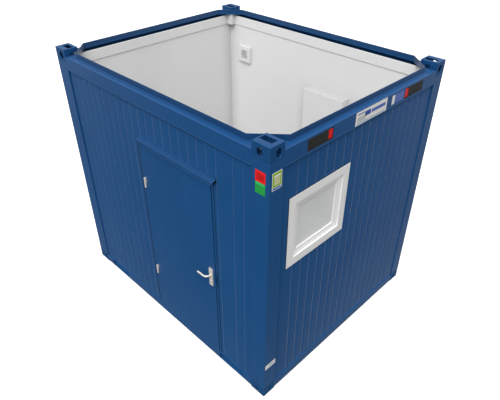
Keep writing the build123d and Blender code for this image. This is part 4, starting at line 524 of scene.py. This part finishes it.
# Rounded edges, in metres, for nodes whose edges aren't rounded in the model
ROUNDED_EDGES = {
    "base_corner_castings": 0.004, "top_corner_castings": 0.004, "corner_posts": 0.004,
    "base_rails": 0.002, "roof_beams": 0.002, "gutter_corner_plates": 0.001, "wall_outer_skins": 0.0012,
    "door_leaf": 0.0012, "door_frame": 0.0015, "door_canopy": 0.0007, "door_threshold": 0.002,
    "door_handle_plates": 0.0015, "lock_thumbturn": 0.0015,
    "window_frame": 0.003, "window_sash": 0.003, "window_handle": 0.003,
    "power_boxes": 0.0008, "power_lid_left": 0.0008, "power_lid_right": 0.0008, "power_connectors": 0.003,
    "fan_covers": 0.002, "distribution_box": 0.0012, "distribution_box_cover": 0.0012,
    "heater_body": 0.001, "wall_cabinet": 0.001, "cabinet_door": 0.0015, "interior_trims": 0.0015,
    "wash_basin": 0.006, "toilet": 0.006, "toilet_seat": 0.005, "shower_tray": 0.006,
    "shower_screens": 0.002, "shower_door": 0.002, "tap_lever": 0.002, "flush_button": 0.001,
}
SHARP_ANGLE = math.radians(24)
ROUND_SEGMENTS = 2
WELD_GAP = 0.00002
# Large sheets whose flat faces are joined up before their edges are rounded
FLAT_SHEETS = (
    "corner_posts", "base_rails", "roof_beams", "wall_outer_skins", "door_leaf", "door_frame", "door_canopy",
)
FLAT_ANGLE = math.radians(0.5)


def round_edges(piece, width, flat_sheet):
    """Modifiers that round a node's sharp edges."""
    weld = piece.modifiers.new("weld", "WELD")
    weld.merge_threshold = WELD_GAP
    if flat_sheet:
        flat = piece.modifiers.new("flat", "DECIMATE")
        flat.decimate_type = "DISSOLVE"
        flat.angle_limit = FLAT_ANGLE
    bevel = piece.modifiers.new("rounded", "BEVEL")
    bevel.width = width
    bevel.segments = ROUND_SEGMENTS
    bevel.limit_method = "ANGLE"
    bevel.angle_limit = SHARP_ANGLE
    bevel.use_clamp_overlap = True
    normals = piece.modifiers.new("normals", "WEIGHTED_NORMAL")
    normals.keep_sharp = True


def dress_model():
    """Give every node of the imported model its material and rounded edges."""
    for part in frame["record"]["subparts"]:
        node = part["node"]
        piece = frame["nodes"][node]
        piece.data.materials.clear()
        piece.data.materials.append(OWN_MATERIALS.get(node, MATERIALS[part["material_slot"]]))
        if node in ROUNDED_EDGES:
            round_edges(piece, ROUNDED_EDGES[node], node in FLAT_SHEETS)


def add_piece(name, mesh_builder, material, body):
    """A new piece from a bmesh, riding on a body."""
    mesh = bpy.data.meshes.new(name)
    mesh_builder.normal_update()
    mesh_builder.to_mesh(mesh)
    mesh_builder.free()
    mesh.materials.append(material)
    piece = bpy.data.objects.new(name, mesh)
    bpy.context.scene.collection.objects.link(piece)
    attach(piece, body)


def bridge(builder, before, after):
    """Faces between two rings of points."""
    count = len(before)
    for k in range(count):
        later = (k + 1) % count
        builder.faces.new((before[k], before[later], after[later], after[k]))


def close_loft(builder, rings):
    """Faces between rings of points, and a face on each end."""
    for before, after in zip(rings, rings[1:]):
        bridge(builder, before, after)
    builder.faces.new(list(reversed(rings[0])))
    builder.faces.new(rings[-1])
    bmesh.ops.recalc_face_normals(builder, faces=builder.faces)


def rounded_rectangle(width, height, radius):
    """Corner-rounded outline about the middle, as (across, up) points."""
    points = []
    for quarter in range(4):
        across = (width / 2 - radius) * (1 if quarter in (0, 3) else -1)
        up = (height / 2 - radius) * (1 if quarter in (0, 1) else -1)
        for step in range(STICKER_STEPS + 1):
            angle = math.pi / 2 * (quarter + step / STICKER_STEPS)
            points.append((across + radius * math.cos(angle), up + radius * math.sin(angle)))
    return points


def sticker(name, face, left, right, bottom, top, ink, layer):
    """A thin printed plate without words on the front or right face of the frame."""
    builder = bmesh.new()
    outline = rounded_rectangle(right - left, top - bottom, STICKER_ROUND)
    middle = (left + right) / 2
    level = (bottom + top) / 2
    rings = []
    for depth in (layer, layer + 1):
        out = depth * STICKER_THICKNESS
        ring = []
        for across, up in outline:
            if face == "front":
                place = (middle + across, FRONT_FACE - out, level + up)
            else:
                place = (RIGHT_FACE + out, middle + across, level + up)
            ring.append(builder.verts.new(place))
        rings.append(ring)
    close_loft(builder, rings)
    add_piece(name, builder, INKS[ink], "container")


def bead(name, corners, out, width, material, closed=False):
    """A half-round bead along a run of points on a flat face."""
    builder = bmesh.new()
    rings = []
    count = len(corners)
    for k, corner in enumerate(corners):
        before = corners[k - 1] if closed or k else corner
        after = corners[(k + 1) % count] if closed or k < count - 1 else corner
        runs = [run.normalized() for run in (corner - before, after - corner) if run.length]
        side = sum((run.cross(out) for run in runs), Vector())
        mitre = side * (len(runs) / side.length_squared)
        ring = []
        for step in range(BEAD_STEPS + 1):
            angle = math.pi * step / BEAD_STEPS
            place = corner + mitre * (math.cos(angle) * width / 2) + out * (math.sin(angle) * BEAD_HEIGHT)
            ring.append(builder.verts.new(place))
        rings.append(ring)
    if closed:
        for before, after in zip(rings, rings[1:] + rings[:1]):
            bridge(builder, before, after)
        bmesh.ops.recalc_face_normals(builder, faces=builder.faces)
    else:
        close_loft(builder, rings)
    add_piece(name, builder, material, "container")


def sealant():
    """Beads where the door frame and the window frame meet the wall sheets; their dark blue is partly
    sealant and partly painted shade along the frame edges.
    """
    wall_low, wall_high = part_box("wall_outer_skins")
    material = MATERIALS["sealant"]
    low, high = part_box("door_frame")
    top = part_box("door_canopy")[0].z
    for side, x, width in (
        ("hinge", low.x - HINGE_BEAD_WIDTH / 2, HINGE_BEAD_WIDTH),
        ("lock", high.x + LOCK_BEAD_WIDTH / 2, LOCK_BEAD_WIDTH),
    ):
        ends = [Vector((x, wall_low.y, low.z)), Vector((x, wall_low.y, top))]
        bead(f"door_sealant_{side}", ends, FRONT, width, material)
    low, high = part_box("window_frame")
    half = Vector((0, WINDOW_BEAD_WIDTH / 2, WINDOW_BEAD_WIDTH / 2))
    low = low - half
    high = high + half
    run = ((low.y, low.z), (high.y, low.z), (high.y, high.z), (low.y, high.z))
    corners = [Vector((wall_high.x, y, z)) for y, z in run]
    bead("window_sealant", corners, RIGHT, WINDOW_BEAD_WIDTH, material, closed=True)


def hems():
    """Folded lower edges on the outer faces of the roof beams, between the castings; their greyer blue is a
    painted highlight along the beams' lower edges.
    """
    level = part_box("roof_beams")[0].z
    long_end = RIGHT_FACE - CASTING_LENGTH
    short_end = -FRONT_FACE - CASTING_WIDTH
    for side, out, half, reach in (
        ("front", FRONT, long_end, -FRONT_FACE),
        ("right", RIGHT, short_end, RIGHT_FACE),
        ("back", -FRONT, long_end, -FRONT_FACE),
        ("left", -RIGHT, short_end, RIGHT_FACE),
    ):
        along = UP.cross(out) * half
        foot = out * reach + UP * level
        ends = [foot - along, foot + along]
        bead(f"beam_hem_{side}", ends, out, HEM_WIDTH, MATERIALS["hem_highlight_paint"])


def screw_ring(builder, place, out, reaches, height):
    """A ring of points round a screw's axis, each at its own share of the radius."""
    up = out.cross(RIGHT)
    ring = []
    for k, reach in enumerate(reaches):
        angle = 2 * math.pi * k / len(reaches)
        flat = RIGHT * math.cos(angle) + up * math.sin(angle)
        point = place + flat * (reach * SCREW_RADIUS) + out * (height * SCREW_HEIGHT)
        ring.append(builder.verts.new(point))
    return ring


def screw(name, place, out, body):
    """A domed screw head with a cross recess."""
    builder = bmesh.new()
    rings = [
        screw_ring(builder, place, out, [radius] * SCREW_SIDES, height) for radius, height in SCREW_PROFILE
    ]
    quarter = SCREW_SIDES // 4
    cross = [CROSS_WAIST if k % quarter else CROSS_ARM for k in range(SCREW_SIDES)]
    rings.append(screw_ring(builder, place, out, cross, CROSS_FLOOR))
    close_loft(builder, rings)
    add_piece(name, builder, MATERIALS["stainless_steel"], body)


def screws():
    """Screw heads on the handle plates."""
    low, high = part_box("door_handle_plates")
    middle = (low.x + high.x) / 2
    for side, face, out in (("outer", low.y + KEYWAY_PROUD, FRONT), ("inner", high.y, -FRONT)):
        for end, level in (("low", low.z + PLATE_SCREW_INSET), ("high", high.z - PLATE_SCREW_INSET)):
            screw(f"plate_screw_{side}_{end}", Vector((middle, face, level)), out, "door")


def lay_floor():
    """A pale floor that throws no light back on the container."""
    builder = bmesh.new()
    bmesh.ops.create_grid(builder, x_segments=1, y_segments=1, size=FLOOR_SIZE / 2)
    mesh = bpy.data.meshes.new("floor")
    builder.to_mesh(mesh)
    builder.free()
    n = Nodes("floor")
    n.feed(Base_Color=n.blend(n.between(n.noise(scale=0.6), 0, 1), shade(FLOOR_COLOUR, 0.98), FLOOR_COLOUR))
    n.set(Roughness=0.9, Specular_IOR_Level=0.1, Emission_Color=(1, 1, 1, 1), Emission_Strength=FLOOR_GLOW)
    mesh.materials.append(n.material)
    floor = bpy.data.objects.new("floor", mesh)
    bpy.context.scene.collection.objects.link(floor)
    floor.visible_diffuse = False
    floor.visible_glossy = False


def light_sky():
    """A soft grey sky, brighter towards the top."""
    world = bpy.data.worlds.new("sky")
    world.use_nodes = True
    tree = world.node_tree
    direction = tree.nodes.new("ShaderNodeTexCoord")
    split = tree.nodes.new("ShaderNodeSeparateXYZ")
    half = tree.nodes.new("ShaderNodeMapRange")
    half.inputs["From Min"].default_value = -1
    ramp = tree.nodes.new("ShaderNodeValToRGB")
    tree.links.new(direction.outputs["Generated"], split.inputs[0])
    tree.links.new(split.outputs["Z"], half.inputs["Value"])
    tree.links.new(half.outputs["Result"], ramp.inputs["Fac"])
    tree.links.new(ramp.outputs["Color"], tree.nodes["Background"].inputs["Color"])
    stops = ramp.color_ramp.elements
    stops.remove(stops[1])
    for place, bright in SKY:
        stop = stops.new(place)
        stop.color = (bright, bright, bright, 1)
    stops.remove(stops[0])
    bpy.context.scene.world = world


def light_sun():
    """One wide sun from the front right."""
    light = bpy.data.lights.new("sun", "SUN")
    light.energy = SUN_STRENGTH
    light.angle = SUN_WIDTH
    sun = bpy.data.objects.new("sun", light)
    sun.rotation_mode = "QUATERNION"
    sun.rotation_quaternion = (-SUN_FROM).to_track_quat("-Z", "Y")
    bpy.context.scene.collection.objects.link(sun)


def place_camera():
    """The photograph's camera, with plain tones."""
    lens = bpy.data.cameras.new("camera")
    lens.lens = CAMERA_LENS
    lens.sensor_width = CAMERA_SENSOR
    camera = bpy.data.objects.new("camera", lens)
    camera.location = CAMERA_PLACE
    camera.rotation_mode = "QUATERNION"
    camera.rotation_quaternion = CAMERA_AIM.to_track_quat("-Z", "Y")
    bpy.context.scene.collection.objects.link(camera)
    bpy.context.scene.camera = camera
    bpy.context.scene.view_settings.view_transform = "Standard"


dress_model()
for row in STICKERS:
    sticker(*row)
sealant()
hems()
screws()
lay_floor()
light_sky()
light_sun()
place_camera()
